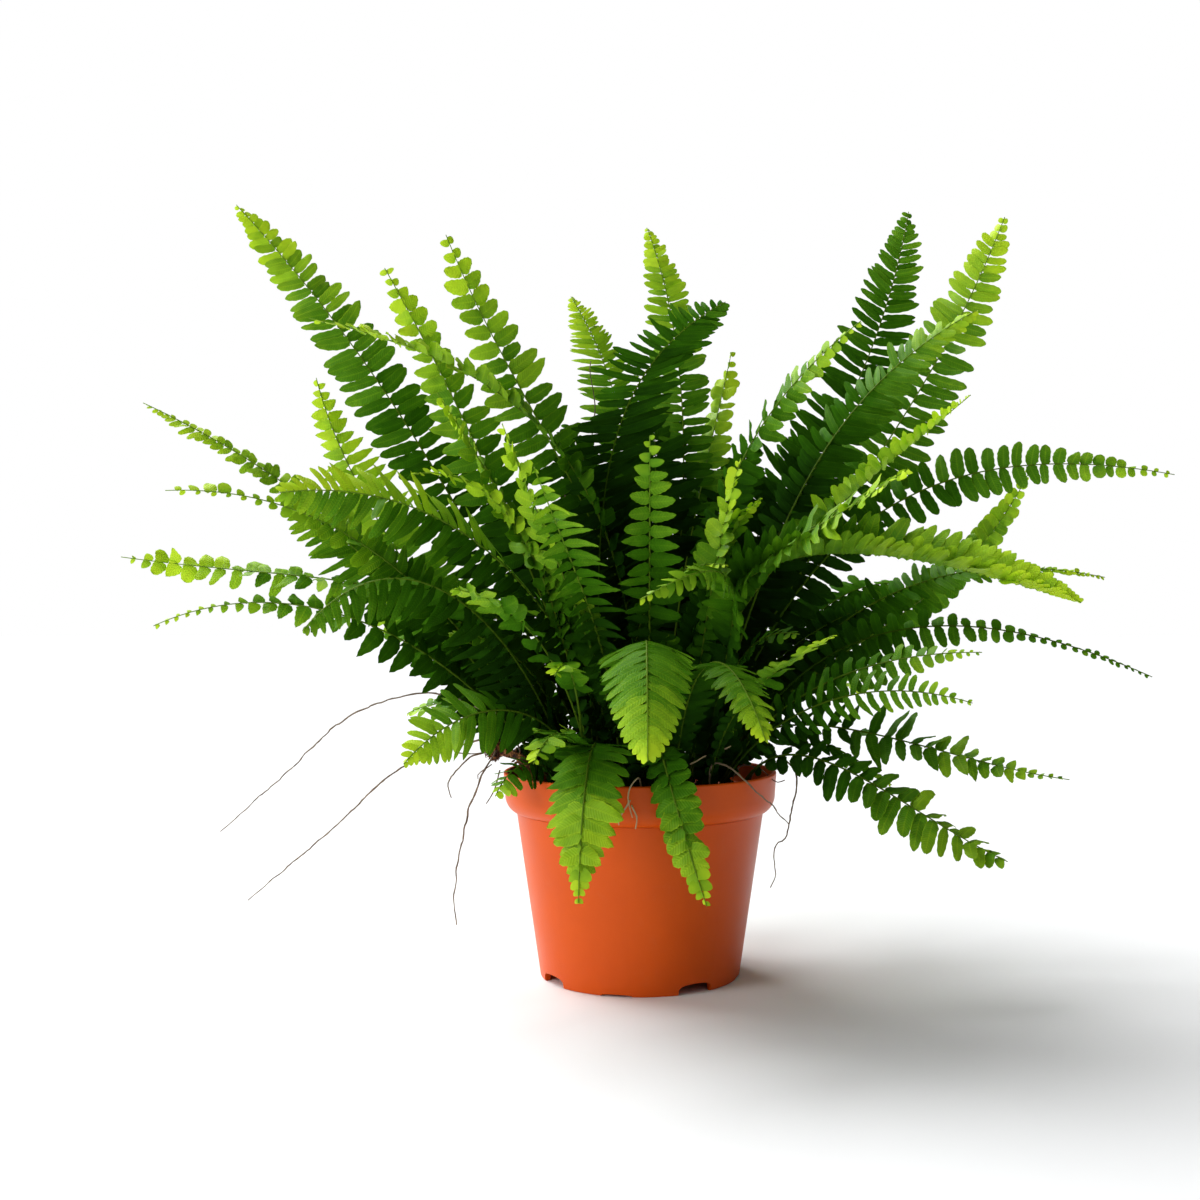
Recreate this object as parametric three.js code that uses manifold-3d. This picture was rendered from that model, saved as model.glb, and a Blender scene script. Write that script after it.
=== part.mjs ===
// Potted sword fern: a crown of arching fronds growing from soil in a round nursery pot.
// Millimetres, +Z up. The origin is under the middle of the pot, on the surface that it stands on.
// The front faces -Y, and +X is to the right as seen from there.

import * as THREE from 'three';
import { mergeVertices } from 'three/addons/utils/BufferGeometryUtils.js';
import Module from 'manifold-3d';

const wasm = await Module();
wasm.setup();

// Pot
const SIDES = 36;
const POT_HEIGHT = 89;
const RIM_RADIUS = 60;
const RIM_LOWER_RADIUS = 59.3;
const RIM_ROUND_TOP = 79;
const RIM_BOTTOM = 71.5;
const BODY_TOP_RADIUS = 54.2;
const FOOT_RADIUS = 43.7;
const FOOT_WIDTH = 2.1;
const FOOT_HEIGHT = 4.4;
const FOOT_SLOPE = 1;
const HUB_RADIUS = 16;
const HUB_SLOPE = 1.5;
const WELL_TOP_RADIUS = 16.9;
const WELL_RADIUS = 15;
const INNER_STEP_RISE = 0.6;
const INNER_STEP_OUT = 0.2;
const INNER_FLOOR_OUT = 0.8;
const WALL = 1.8;
const RIM_ROUND_ANGLES = [-84, -42];
const NOTCH_ANGLES = [-58, 32, 122, 212];
const NOTCH_WIDTH = 16;
const NOTCH_REACH = 12;
const SHALLOW_NOTCH_TURN = 45;
const SHALLOW_NOTCH_WIDTH = 13;
const SHALLOW_NOTCH_HEIGHT = 1;
const DRAIN_RADIUS = 4;
const DRAIN_PLACE = 30;
const DRAIN_SIDES = 10;

// Soil
const FIT_GAP = 0.35;
const SOIL_TOP = 78;
const SOIL_EDGE = 77;
const SOIL_FLAT_RADIUS = 42;
const SOIL_SPREAD = 2.6;
const SOIL_WAVE = 0.6;
const SOIL_WAVE_TURNS = [0.16, 0.13];
const HOLE_SLACK = 0.1;

// Frond stems
const COLLAR_HEIGHT = 2.5;
const ROOT_DEPTH = 5;
const RIB_HALF_WIDTH = 0.9;
const RIB_RISE = 1.2;
const RUNNER_RISE = 0.7;
const STALK_STEPS = 3;
const TIP_POINT = 2;

// Frond blades
const BLADE_START = 0.16;
const TAPER_FROM = 0.55;
const TAIL_TAPER_FROM = 0.4;
const BLUNTNESS = 0.72;
const TAIL_SHARPNESS = 1.2;
const FIRST_WIDTH = 0.45;
const LEAST_WIDTH = 0.12;
const LEAST_PAIRS = 4;
const LEAFLET_PITCH = 14.8;
const LEAFLET_GAP = 0.18;
const LEAFLET_CROWN = 0.9;
const SHORTEST_LEAFLET = 1.6;

// Room that a leaflet keeps
const FOLDS = [0, 25, -25, 50, -50];
const LENGTHS = [1, 0.7, 0.45, 0.25];
const SHEET_CLEARANCE = 1.3;
const RIB_CLEARANCE = 2.2;
const POT_CLEARANCE = 1.4;
const LEAFLET_PROBES = 4;

// Roots and runners
const RUNNER_HALF_WIDTH = 0.5;

const COLOURS = {
  pot: '#c4501f',
  soil: '#2a1d14',
  rhizome: '#5a2a16',
  runner: '#6b5647',
  oldFrond: '#27500b',
  youngFrond: '#9ac22e',
};

// One row for each frond. Rows of one name share a root and are one node.
// Places are in millimetres and turns in degrees. Around is counted from +X towards +Y, rise is the
// slope at the root and fall the slope at the tip. Sway bends the frond sideways, bow is how full its
// arch is and roll turns its face. Full is the share of the blade where it is at its widest, tail goes
// from 0 for a blunt tip to 1 for a long thin one, and shade from 0 for old and dark to 1 for young.
const FRONDS = [
  // node, root x, y, tip around, reach, height, rise, fall, sway, bow, roll at root, at tip,
  // width, share where the width is full, tail, shade
  ['frond_left_01', -14, 12, 163, 203, 354, 60, 46, 0, 0.38, 60, 60, 40, 0.25, 0, 0.25],
  ['frond_left_02', 2, -16, 200, 144, 279, 88, 10, 0, 0.48, 10, 10, 36, 0.25, 0, 0.75],
  ['frond_left_03', -8, 4, 170, 118, 315, 66, 60, 0, 0.38, 70, 70, 36, 0.25, 0.4, 0.6],
  ['frond_left_04', 6, 2, 186, 85, 323, 92, 68, 0, 0.38, 75, 75, 38, 0.25, 0.3, 0.55],
  ['frond_left_05', -20, 10, 165, 157, 268, 42, 75, 0, 0.3, 80, 80, 26, 0.25, 0.3, 0.8],
  ['frond_left_06', -24, 4, 176, 225, 253, 50, 25, 0, 0.38, 50, 30, 24, 0.25, 0.4, 0.5],
  ['frond_left_07', -28, -10, 189, 202, 210, 58, -3, 0, 0.38, 20, 60, 34, 0.25, 0.9, 0.6],
  ['frond_left_08', -10, -24, 216, 169, 204, 80, -10, 0, 0.4, 20, 45, 42, 0.25, 0, 0.8],
  ['frond_left_09', -26, -2, 180, 158, 209, 50, 32, 0, 0.38, 40, 50, 40, 0.25, 0, 0.4],
  ['frond_left_10', -32, -8, 180, 229, 183, 72, 8, 0, 0.5, -50, 75, 30, 0.25, 0.2, 0.7],
  ['frond_left_11', -36, -12, 187, 208, 153, 60, -25, 0, 0.38, 30, 60, 32, 0.25, 0.8, 0.5],
  ['frond_left_12', -28, -22, 211, 153, 152, 75, -50, 0, 0.5, 30, 30, 40, 0.25, 0, 0.35],
  ['frond_left_13', -37, 12, 155, 144, 164, 52, 10, 0, 0.38, 60, 60, 42, 0.25, 0, 0.1],
  ['frond_left_13', -37, 12, 155, 122, 110, 50, -25, 0, 0.4, 40, 40, 20, 0.25, 0, 0.4],
  ['frond_left_14', -18, -32, 226, 125, 212, 76, -10, 0, 0.38, 10, 20, 20, 0.5, 0, 0.75],
  ['frond_left_14', -18, -32, 238, 130, 168, 72, 5, 0, 0.4, 0, 0, 17, 0.5, 0, 0.7],
  ['frond_left_15', -24, -27, 212, 112, 98, 80, -48, 0, 0.55, 20, 40, 36, 0.25, 0.2, 0.3],
  ['frond_left_16', -31, -32, 220, 77, 84, 75, -65, 0, 0.6, 20, 20, 24, 0.25, 0, 0.1],
  ['frond_left_17', -4, -29, 217, 102, 247, 72, 55, 0, 0.38, 40, 20, 26, 0.5, 0, 0.85],
  ['frond_left_17', -4, -29, 240, 105, 231, 74, 60, 0, 0.38, 20, 20, 22, 0.5, 0, 0.95],
  ['frond_centre_01', 0, 24, 108, 115, 320, 72, 50, -20, 0.38, 10, 10, 36, 0.25, 0, 0.55],
  ['frond_centre_02', 6, 20, 88, 100, 353, 70, 55, -25, 0.38, 0, 0, 32, 0.25, 0, 0.5],
  ['frond_centre_03', -20, -12, 328, 43, 291, 84, 26, 0, 0.38, -80, -80, 48, 0.25, 0, 0.05],
  ['frond_centre_04', 10, 16, 63, 101, 288, 84, 62, 0, 0.38, 0, 0, 20, 0.25, 0.3, 0.9],
  ['frond_centre_05', 4, -26, 272, 105, 225, 76, 75, 0, 0.38, 0, 0, 22, 0.55, 0, 0.5],
  ['frond_centre_06', 20, -34, 296, 89, 219, 80, 58, 0, 0.38, 80, 80, 20, 0.5, 0, 0.85],
  ['frond_centre_06', 20, -34, 309, 77, 204, 74, 18, 0, 0.38, 20, 20, 16, 0.5, 0, 0.5],
  ['frond_centre_07', -8, -37, 254, 136, 211, 88, 42, 0, 0.38, -20, -20, 21, 0.55, 0, 0.6],
  ['frond_front_01', 2, -38, 271, 150, 109, 66, -68, 0, 0.65, 0, 0, 34, 0.25, 0, 0.75],
  ['frond_front_02', 14, -36, 289, 137, 114, 80, -48, 0, 0.6, 0, 0, 22, 0.25, 0, 0.75],
  ['frond_front_03', -14, -40, 255, 91, 48, 72, -85, 0, 0.9, 0, 0, 28, 0.25, 0.4, 0.55],
  ['frond_front_04', 11, -43, 287, 88, 46, 74, -70, -50, 0.9, 0, 0, 19, 0.25, 0.2, 0.55],
  ['frond_front_05', -22, -40, 247, 103, 102, 66, -40, 0, 0.5, 0, 0, 18, 0.25, 0, 0.75],
  ['frond_front_05', -22, -40, 254, 114, 136, 70, -20, 0, 0.45, 0, 0, 15, 0.25, 0, 0.65],
  ['frond_front_06', 25, -28, 270, 130, 164, 80, -30, 60, 0.5, 30, 30, 18, 0.5, 0.3, 0.35],
  ['frond_right_01', 6, 10, 31, 155, 356, 66, 78, 0, 0.38, -60, -60, 42, 0.25, 0, 0.1],
  ['frond_right_02', 20, 8, 13, 175, 343, 66, 68, 0, 0.38, -70, -70, 40, 0.25, 0, 0.5],
  ['frond_right_03', 22, -4, 356, 147, 290, 70, 28, 0, 0.38, -55, -50, 34, 0.25, 0, 0.5],
  ['frond_right_04', 14, -12, 326, 107, 276, 80, 32, 0, 0.42, -65, -55, 30, 0.25, 0.2, 0.5],
  ['frond_right_05', 10, 26, 34, 114, 254, 70, 50, 0, 0.38, -50, -50, 42, 0.25, 0, 0.0],
  ['frond_right_06', 22, -15, 332, 148, 245, 88, 38, 0, 0.42, -20, -20, 28, 0.5, 0, 0.85],
  ['frond_right_07', 15, -25, 315, 142, 213, 88, 28, 0, 0.58, -30, -30, 28, 0.5, 0, 0.75],
  ['frond_right_08', 28, 3, 2, 239, 220, 72, -10, 0, 0.47, -75, -75, 34, 0.25, 0.3, 0.15],
  ['frond_right_09', 26, 18, 25, 216, 229, 48, 60, 0, 0.38, -50, -50, 24, 0.25, 0, 0.65],
  ['frond_right_10', 8, -34, 326, 196, 163, 84, -18, 0, 0.6, -25, -25, 34, 0.25, 0, 0.7],
  ['frond_right_11', 34, 14, 17, 237, 175, 62, -10, 0, 0.42, -30, -30, 26, 0.25, 0.5, 0.3],
  ['frond_right_12', 36, -2, 0, 226, 130, 68, -24, 0, 0.46, -80, -30, 34, 0.25, 1, 0.05],
  ['frond_right_13', 32, -22, 336, 150, 143, 64, 0, 0, 0.38, -50, -50, 24, 0.25, 0.3, 0.3],
  ['frond_right_13', 32, -22, 328, 152, 124, 58, -15, 0, 0.38, -60, -60, 24, 0.25, 0.3, 0.2],
  ['frond_right_14', 36, 6, 354, 185, 87, 80, -6, 0, 0.38, -40, -40, 34, 0.25, 0.6, 0.3],
  ['frond_right_14', 36, 6, 23, 130, 76, 60, -35, 0, 0.45, -20, -20, 20, 0.25, 0, 0.3],
  ['frond_right_15', 42, -20, 342, 158, 57, 66, -23, 0, 0.42, -30, -30, 32, 0.25, 0, 0.3],
  ['frond_right_16', 28, -34, 303, 131, 151, 78, 20, 0, 0.38, -10, -10, 15, 0.4, 0, 0.45],
  ['frond_right_17', 30, 26, 37, 168, 172, 54, -5, 0, 0.38, -30, -30, 36, 0.25, 0, 0.05],
  ['frond_back_01', 22, 30, 60, 190, 200, 62, -10, 0, 0.4, 0, 0, 40, 0.25, 0, 0.2],
  ['frond_back_02', 4, 34, 85, 210, 170, 58, -20, 0, 0.4, 0, 0, 40, 0.25, 0, 0.4],
  ['frond_back_03', -10, 30, 110, 200, 215, 62, 0, 0, 0.4, 0, 0, 38, 0.25, 0, 0.3],
  ['frond_back_04', -26, 26, 135, 190, 175, 57, -15, 0, 0.4, 0, 0, 40, 0.25, 0, 0.2],
  ['frond_back_05', 14, 42, 75, 150, 110, 66, -40, 0, 0.45, 0, 0, 34, 0.25, 0, 0.4],
  ['frond_back_06', -12, 42, 115, 145, 95, 66, -50, 0, 0.45, 0, 0, 34, 0.25, 0, 0.3],
  ['frond_back_06', -12, 42, 94, 88, 45, 76, -85, 0, 0.9, 0, 0, 28, 0.25, 0, 0.5],
  ['frond_back_07', 32, 34, 45, 165, 115, 62, -35, 0, 0.45, 0, 0, 34, 0.25, 0, 0.3],
];

const COLUMNS = ['name', 'x', 'y', 'around', 'reach', 'height', 'rise', 'fall', 'sway', 'bow', 'rollRoot',
  'rollTip', 'width', 'full', 'tail', 'shade'];

const radians = THREE.MathUtils.degToRad;

function direction(heading, slope) {
  const [h, e] = [radians(heading), radians(slope)];
  return new THREE.Vector3(Math.cos(h) * Math.cos(e), Math.sin(h) * Math.cos(e), Math.sin(e));
}

// Solids

function toSolid(geometry) {
  const bare = geometry.clone();
  bare.deleteAttribute('normal');
  bare.deleteAttribute('uv');
  const merged = mergeVertices(bare, 1e-4);
  const index = merged.index.array;
  const kept = [];
  for (let i = 0; i < index.length; i += 3) {
    const [a, b, c] = [index[i], index[i + 1], index[i + 2]];
    if (a !== b && b !== c && c !== a) kept.push(a, b, c);
  }
  return new wasm.Manifold(new wasm.Mesh({
    numProp: 3,
    vertProperties: new Float32Array(merged.attributes.position.array),
    triVerts: new Uint32Array(kept),
  }));
}

function toGeometry(solid) {
  const mesh = solid.getMesh();
  const geometry = new THREE.BufferGeometry();
  geometry.setAttribute('position', new THREE.BufferAttribute(mesh.vertProperties, 3));
  geometry.setIndex(new THREE.BufferAttribute(mesh.triVerts, 1));
  geometry.computeVertexNormals();
  return geometry;
}

function facesGeometry(faces) {
  const geometry = new THREE.BufferGeometry().setFromPoints(faces.flat());
  geometry.computeVertexNormals();
  return geometry;
}

function latheUpright(profile) {
  const points = profile.map(([r, z]) => new THREE.Vector2(r, z));
  return new THREE.LatheGeometry(points, SIDES).rotateX(Math.PI / 2);
}



// Pot

function rimRound() {
  const points = [];
  for (const angle of RIM_ROUND_ANGLES) {
    const a = radians(angle);
    const r = BODY_TOP_RADIUS - 1 + (RIM_LOWER_RADIUS - BODY_TOP_RADIUS + 1) * Math.cos(a);
    points.push([r, RIM_ROUND_TOP + (RIM_ROUND_TOP - RIM_BOTTOM) * Math.sin(a)]);
  }
  return points;
}

function notchCutter(width, height, turn) {
  return new THREE.BoxGeometry(width, NOTCH_REACH, 2 * height).translate(0, -FOOT_RADIUS, 0).rotateZ(turn);
}

const INNER_PROFILE = [
  [RIM_RADIUS - WALL, POT_HEIGHT],
  [RIM_LOWER_RADIUS - WALL, RIM_ROUND_TOP + INNER_STEP_RISE],
  [BODY_TOP_RADIUS - WALL + INNER_STEP_OUT, RIM_BOTTOM + WALL],
  [FOOT_RADIUS - WALL + INNER_FLOOR_OUT, FOOT_HEIGHT + WALL],
  [WELL_TOP_RADIUS, FOOT_HEIGHT + WALL],
  [WELL_RADIUS, WALL],
];

function makePot() {
  let pot = toSolid(latheUpright([
    [0, 0],
    [HUB_RADIUS, 0],
    [HUB_RADIUS + HUB_SLOPE, FOOT_HEIGHT],
    [FOOT_RADIUS - FOOT_WIDTH - FOOT_SLOPE, FOOT_HEIGHT],
    [FOOT_RADIUS - FOOT_WIDTH, 0],
    [FOOT_RADIUS, 0],
    [BODY_TOP_RADIUS, RIM_BOTTOM],
    ...rimRound(),
    [RIM_LOWER_RADIUS, RIM_ROUND_TOP],
    [RIM_RADIUS, POT_HEIGHT],
    ...INNER_PROFILE,
    [0, WALL],
  ]));
  for (const angle of NOTCH_ANGLES) {
    const turn = radians(angle);
    const halfway = turn + radians(SHALLOW_NOTCH_TURN);
    const notch = notchCutter(NOTCH_WIDTH, FOOT_HEIGHT, turn);
    const shallow = notchCutter(SHALLOW_NOTCH_WIDTH, SHALLOW_NOTCH_HEIGHT, halfway);
    const drain = new THREE.CylinderGeometry(DRAIN_RADIUS, DRAIN_RADIUS, 3 * WALL, DRAIN_SIDES)
      .rotateX(Math.PI / 2).translate(0, -DRAIN_PLACE, FOOT_HEIGHT + WALL / 2).rotateZ(turn);
    for (const cut of [notch, shallow, drain]) pot = pot.subtract(toSolid(cut));
  }
  return pot;
}

// Outer radius of the pot at a height
function potRadius(z) {
  const share = Math.max(0, z) / RIM_BOTTOM;
  return z < RIM_BOTTOM - 1 ? FOOT_RADIUS + (BODY_TOP_RADIUS - FOOT_RADIUS) * share : RIM_RADIUS;
}

// Soil

function makeSoil(holePlaces) {
  const floor = FOOT_HEIGHT + WALL + FIT_GAP;
  const lathe = latheUpright([
    [0, WALL + FIT_GAP],
    [WELL_RADIUS - FIT_GAP, WALL + FIT_GAP],
    [WELL_TOP_RADIUS - FIT_GAP, floor],
    [FOOT_RADIUS - WALL + INNER_FLOOR_OUT - FIT_GAP, floor],
    [BODY_TOP_RADIUS - WALL - INNER_STEP_OUT, RIM_BOTTOM + WALL + INNER_STEP_OUT],
    [BODY_TOP_RADIUS - WALL + SOIL_SPREAD, SOIL_EDGE],
    [SOIL_FLAT_RADIUS, SOIL_TOP - SOIL_WAVE],
    [0, SOIL_TOP - SOIL_WAVE],
  ]);
  const position = lathe.attributes.position;
  for (let i = 0; i < position.count; i++) {
    const [x, y, z] = [position.getX(i), position.getY(i), position.getZ(i)];
    const wave = Math.sin(SOIL_WAVE_TURNS[0] * x + 1) * Math.cos(SOIL_WAVE_TURNS[1] * y);
    if (Math.hypot(x, y) <= SOIL_FLAT_RADIUS + 1 && z > SOIL_EDGE) position.setZ(i, z + SOIL_WAVE * wave);
  }
  let soil = toSolid(lathe);
  for (const { x, y, depth, radius } of holePlaces) {
    const side = 2 * (radius + FIT_GAP + HOLE_SLACK);
    const height = 2 * (depth + FIT_GAP);
    soil = soil.subtract(toSolid(new THREE.BoxGeometry(side, side, height).translate(x, y, SOIL_TOP)));
  }
  return soil;
}

// Frond paths

function frondPath({ x, y, around, reach, height, rise, fall, sway, bow }) {
  const root = new THREE.Vector3(x, y, SOIL_TOP + COLLAR_HEIGHT);
  const tip = direction(around, 0).multiplyScalar(reach).setZ(height);
  const chord = tip.clone().sub(root);
  const heading = THREE.MathUtils.radToDeg(Math.atan2(chord.y, chord.x));
  const handle = bow * chord.length();
  const leaving = root.clone().addScaledVector(direction(heading + sway, rise), handle);
  const arriving = tip.clone().addScaledVector(direction(heading - sway, fall), -handle);
  return { curve: new THREE.CubicBezierCurve3(root, leaving, arriving, tip), chord };
}

// Points along a frond, each with its own across and up directions
function frondStations(row, shares) {
  const { curve, chord } = frondPath(row);
  const level = new THREE.Vector3(chord.y, -chord.x, 0).normalize();
  return shares.map((share) => {
    const along = curve.getTangentAt(share);
    level.addScaledVector(along, -level.dot(along)).normalize();
    const top = level.clone().cross(along);
    const roll = radians(THREE.MathUtils.lerp(row.rollRoot, row.rollTip, share));
    return {
      share,
      along,
      point: curve.getPointAt(share),
      across: level.clone().multiplyScalar(Math.cos(roll)).addScaledVector(top, Math.sin(roll)),
      up: top.clone().multiplyScalar(Math.cos(roll)).addScaledVector(level, -Math.sin(roll)),
    };
  });
}

function halfWidthAt(share, { width, full, tail }) {
  const v = (share - BLADE_START) / (1 - BLADE_START);
  const widening = Math.min(1, FIRST_WIDTH + (1 - FIRST_WIDTH) * v / full);
  const from = THREE.MathUtils.lerp(TAPER_FROM, TAIL_TAPER_FROM, tail);
  const w = THREE.MathUtils.clamp((v - from) / (1 - from), 0, 1);
  const taper = (1 - w ** (2 - tail)) ** (BLUNTNESS + TAIL_SHARPNESS * tail);
  return width / 2 * widening * Math.max(taper, LEAST_WIDTH);
}

function planFrond(row) {
  const { curve } = frondPath(row);
  const pairs = Math.max(LEAST_PAIRS, Math.round(curve.getLength() * (1 - BLADE_START) / LEAFLET_PITCH));
  const shares = [];
  for (let i = 0; i < STALK_STEPS; i++) shares.push(BLADE_START * i / STALK_STEPS);
  for (let i = 0; i <= pairs; i++) shares.push(BLADE_START + (1 - BLADE_START) * i / pairs);
  return { row, stations: frondStations(row, shares) };
}

// Leaflets

function folded(station, side, fold) {
  const [c, s] = [Math.cos(radians(fold)), Math.sin(radians(fold))];
  return {
    out: station.across.clone().multiplyScalar(side * c).addScaledVector(station.up, s),
    top: station.up.clone().multiplyScalar(c).addScaledVector(station.across, -side * s),
  };
}

function notchPoint(station, side) {
  return station.point.clone().addScaledVector(station.across, side * RIB_HALF_WIDTH);
}

// One leaflet: a blunt pillow between two notches, with its middle raised
function leafletShape(from, to, side, fold, length) {
  const [a, b] = [folded(from, side, fold), folded(to, side, fold)];
  const [outerFrom, outerTo] = [
    from.point.clone().addScaledVector(a.out, length),
    to.point.clone().addScaledVector(b.out, length),
  ];
  const notches = [notchPoint(from, side), notchPoint(to, side)];
  const corners = [LEAFLET_GAP, 1 - LEAFLET_GAP].map((share) => outerFrom.clone().lerp(outerTo, share));
  const middle = new THREE.Vector3();
  for (const p of [...notches, ...corners]) middle.addScaledVector(p, 0.25);
  const lifted = a.top.add(b.top).normalize();
  return {
    notches,
    corners,
    crown: middle.clone().addScaledVector(lifted, LEAFLET_CROWN),
    core: middle.clone().addScaledVector(lifted, LEAFLET_CROWN / 2),
  };
}

function leafletSheet({ notches: [n, m], corners: [c, d], core }) {
  const triangles = [[n, c, core], [c, d, core], [d, m, core], [m, n, core]];
  const reach = Math.max(...[n, m, c, d].map((p) => p.distanceTo(core)));
  return { triangles: triangles.map((t) => new THREE.Triangle(...t)), centre: core, reach };
}

// Distances

function segmentGap(a, b, c, d) {
  const [u, v, w] = [b.clone().sub(a), d.clone().sub(c), a.clone().sub(c)];
  const [uu, uv, vv, uw, vw] = [u.dot(u), u.dot(v), v.dot(v), u.dot(w), v.dot(w)];
  const det = uu * vv - uv * uv;
  let s = det > 1e-9 ? THREE.MathUtils.clamp((uv * vw - vv * uw) / det, 0, 1) : 0;
  const t = THREE.MathUtils.clamp((uv * s + vw) / vv, 0, 1);
  s = THREE.MathUtils.clamp((uv * t - uw) / uu, 0, 1);
  return w.addScaledVector(u, s).addScaledVector(v, -t).length();
}

function segmentTriangleGap(p, q, triangle) {
  const { a, b, c } = triangle;
  const ray = new THREE.Ray(p, q.clone().sub(p).normalize());
  const hit = ray.intersectTriangle(a, b, c, false, new THREE.Vector3());
  if (hit && hit.distanceTo(p) <= q.distanceTo(p)) return 0;
  return Math.min(
    segmentGap(p, q, a, b),
    segmentGap(p, q, b, c),
    segmentGap(p, q, c, a),
    triangle.closestPointToPoint(p, new THREE.Vector3()).distanceTo(p),
    triangle.closestPointToPoint(q, new THREE.Vector3()).distanceTo(q),
  );
}

function trianglesGap(s, t) {
  return Math.min(
    segmentTriangleGap(s.a, s.b, t),
    segmentTriangleGap(s.b, s.c, t),
    segmentTriangleGap(s.c, s.a, t),
    segmentTriangleGap(t.a, t.b, s),
    segmentTriangleGap(t.b, t.c, s),
    segmentTriangleGap(t.c, t.a, s),
  );
}

function near(sheet, centre, reach, room) {
  return sheet.centre.distanceTo(centre) < sheet.reach + reach + room;
}

function clearOfPot(shape) {
  const { notches: [n, m], corners: [c, d] } = shape;
  for (let i = 0; i <= LEAFLET_PROBES; i++) {
    for (let j = 0; j <= LEAFLET_PROBES; j++) {
      const [u, v] = [i / LEAFLET_PROBES, j / LEAFLET_PROBES];
      const p = n.clone().lerp(c, u).lerp(m.clone().lerp(d, u), v);
      const r = Math.hypot(p.x, p.y);
      const outside = r > potRadius(p.z) + POT_CLEARANCE;
      const inside = r < BODY_TOP_RADIUS - POT_CLEARANCE && p.z > SOIL_TOP + POT_CLEARANCE;
      if (p.z < POT_HEIGHT + POT_CLEARANCE && !outside && !inside) return false;
    }
  }
  return true;
}

// Wiry runners and roots: the points that each passes through, with the thickness of its stem

const RHIZOME = [
  {
    halfWidth: 2,
    steps: 5,
    points: [[-46, -9, 73], [-46.5, -9, 84], [-51, -8.5, 94], [-64, -6, 99]],
  },
  {
    halfWidth: RUNNER_HALF_WIDTH,
    steps: 16,
    points: [[-49, -9, 91], [-56, -3, 104], [-70, 0, 116], [-86, 0, 122], [-97, 0, 123], [-128, -2, 113],
      [-154, -5, 89], [-183, -8, 63]],
  },
  {
    halfWidth: RUNNER_HALF_WIDTH,
    steps: 14,
    points: [[-62, -7, 100], [-67, -8, 103], [-80, -8, 100], [-96, -8, 94], [-105, -8, 90.5],
      [-135, -8, 63.5], [-171, -8, 33]],
  },
  {
    halfWidth: RUNNER_HALF_WIDTH,
    steps: 7,
    points: [[-63, -8, 98], [-73, -12, 96.5], [-78, -13, 92], [-82.5, -14, 86.5], [-83, -14, 83.5],
      [-81.5, -14, 78.5]],
  },
  {
    halfWidth: RUNNER_HALF_WIDTH,
    steps: 12,
    points: [[-62, -9, 99], [-67.5, -16, 90], [-70, -17, 83], [-73.5, -18, 75.5], [-75, -18, 68],
      [-78, -19, 51], [-79.5, -20, 35], [-78.5, -20, 25]],
  },
];

const RUNNER_RIGHT = [
  {
    halfWidth: RUNNER_HALF_WIDTH,
    steps: 18,
    points: [[46, -9, 73], [46.5, -9, 82], [52, -10, 92], [61, -12, 95.5], [68, -14, 88], [66, -16, 77],
      [64, -18, 67.5], [62, -18, 61.5], [59, -18, 59.5], [57.5, -18, 56.5], [58, -18, 50], [58.5, -18, 46],
      [56, -18, 40.5]],
  },
  {
    halfWidth: RUNNER_HALF_WIDTH,
    steps: 12,
    points: [[29, -40, 73], [29, -40, 84], [29.5, -39.5, 95], [34, -42, 96.5], [40.5, -46.5, 92.5],
      [47.5, -42.5, 85], [54.5, -34.5, 79], [59, -26, 73], [64, -18, 67.5]],
  },
];

const ROOT_FRONT = [
  {
    halfWidth: RUNNER_HALF_WIDTH,
    steps: 9,
    points: [[1, -49, 73], [1, -49.5, 82], [0, -53, 91], [-2, -60, 92], [-4.8, -62.5, 87], [-3, -62.5, 77]],
  },
];

const RHIZOME_HEAD = { centre: [-63.5, -6, 99], radii: [3.6, 4, 5.2] };

function runnerCurve({ points }) {
  return new THREE.CatmullRomCurve3(points.map((p) => new THREE.Vector3(...p)));
}

function makeRunner(runner) {
  const w = runner.halfWidth;
  const corners = [[-w, -w], [w, -w], [0, w * RUNNER_RISE]].map(([x, y]) => new THREE.Vector2(x, y));
  return toSolid(new THREE.ExtrudeGeometry(new THREE.Shape(corners), {
    steps: runner.steps,
    bevelEnabled: false,
    extrudePath: runnerCurve(runner),
  }));
}

function makeRhizomeHead() {
  return toSolid(new THREE.SphereGeometry(1, 8, 5).rotateX(Math.PI / 2)
    .scale(...RHIZOME_HEAD.radii).translate(...RHIZOME_HEAD.centre));
}

function runnerObstacles(runner) {
  const points = runnerCurve(runner).getSpacedPoints(runner.steps);
  return points.slice(1).map((q, i) => ({
    p: points[i],
    q,
    centre: q.clone().lerp(points[i], 0.5),
    reach: q.distanceTo(points[i]) / 2,
    room: RIB_CLEARANCE + runner.halfWidth,
  }));
}

function ribObstacles(plan) {
  return plan.stations.slice(1).map(({ point: q }, i) => {
    const p = plan.stations[i].point;
    return {
      owner: plan,
      p,
      q,
      centre: q.clone().lerp(p, 0.5),
      reach: q.distanceTo(p) / 2,
      room: RIB_CLEARANCE,
    };
  });
}

function meetsRib(sheet, rib) {
  return rib.owner !== sheet.owner && near(sheet, rib.centre, rib.reach, rib.room)
    && sheet.triangles.some((t) => segmentTriangleGap(rib.p, rib.q, t) < rib.room);
}

function meetsSheet(sheet, other) {
  return other.owner !== sheet.owner && near(sheet, other.centre, other.reach, SHEET_CLEARANCE)
    && sheet.triangles.some((s) => other.triangles.some((t) => trianglesGap(s, t) < SHEET_CLEARANCE));
}

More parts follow.
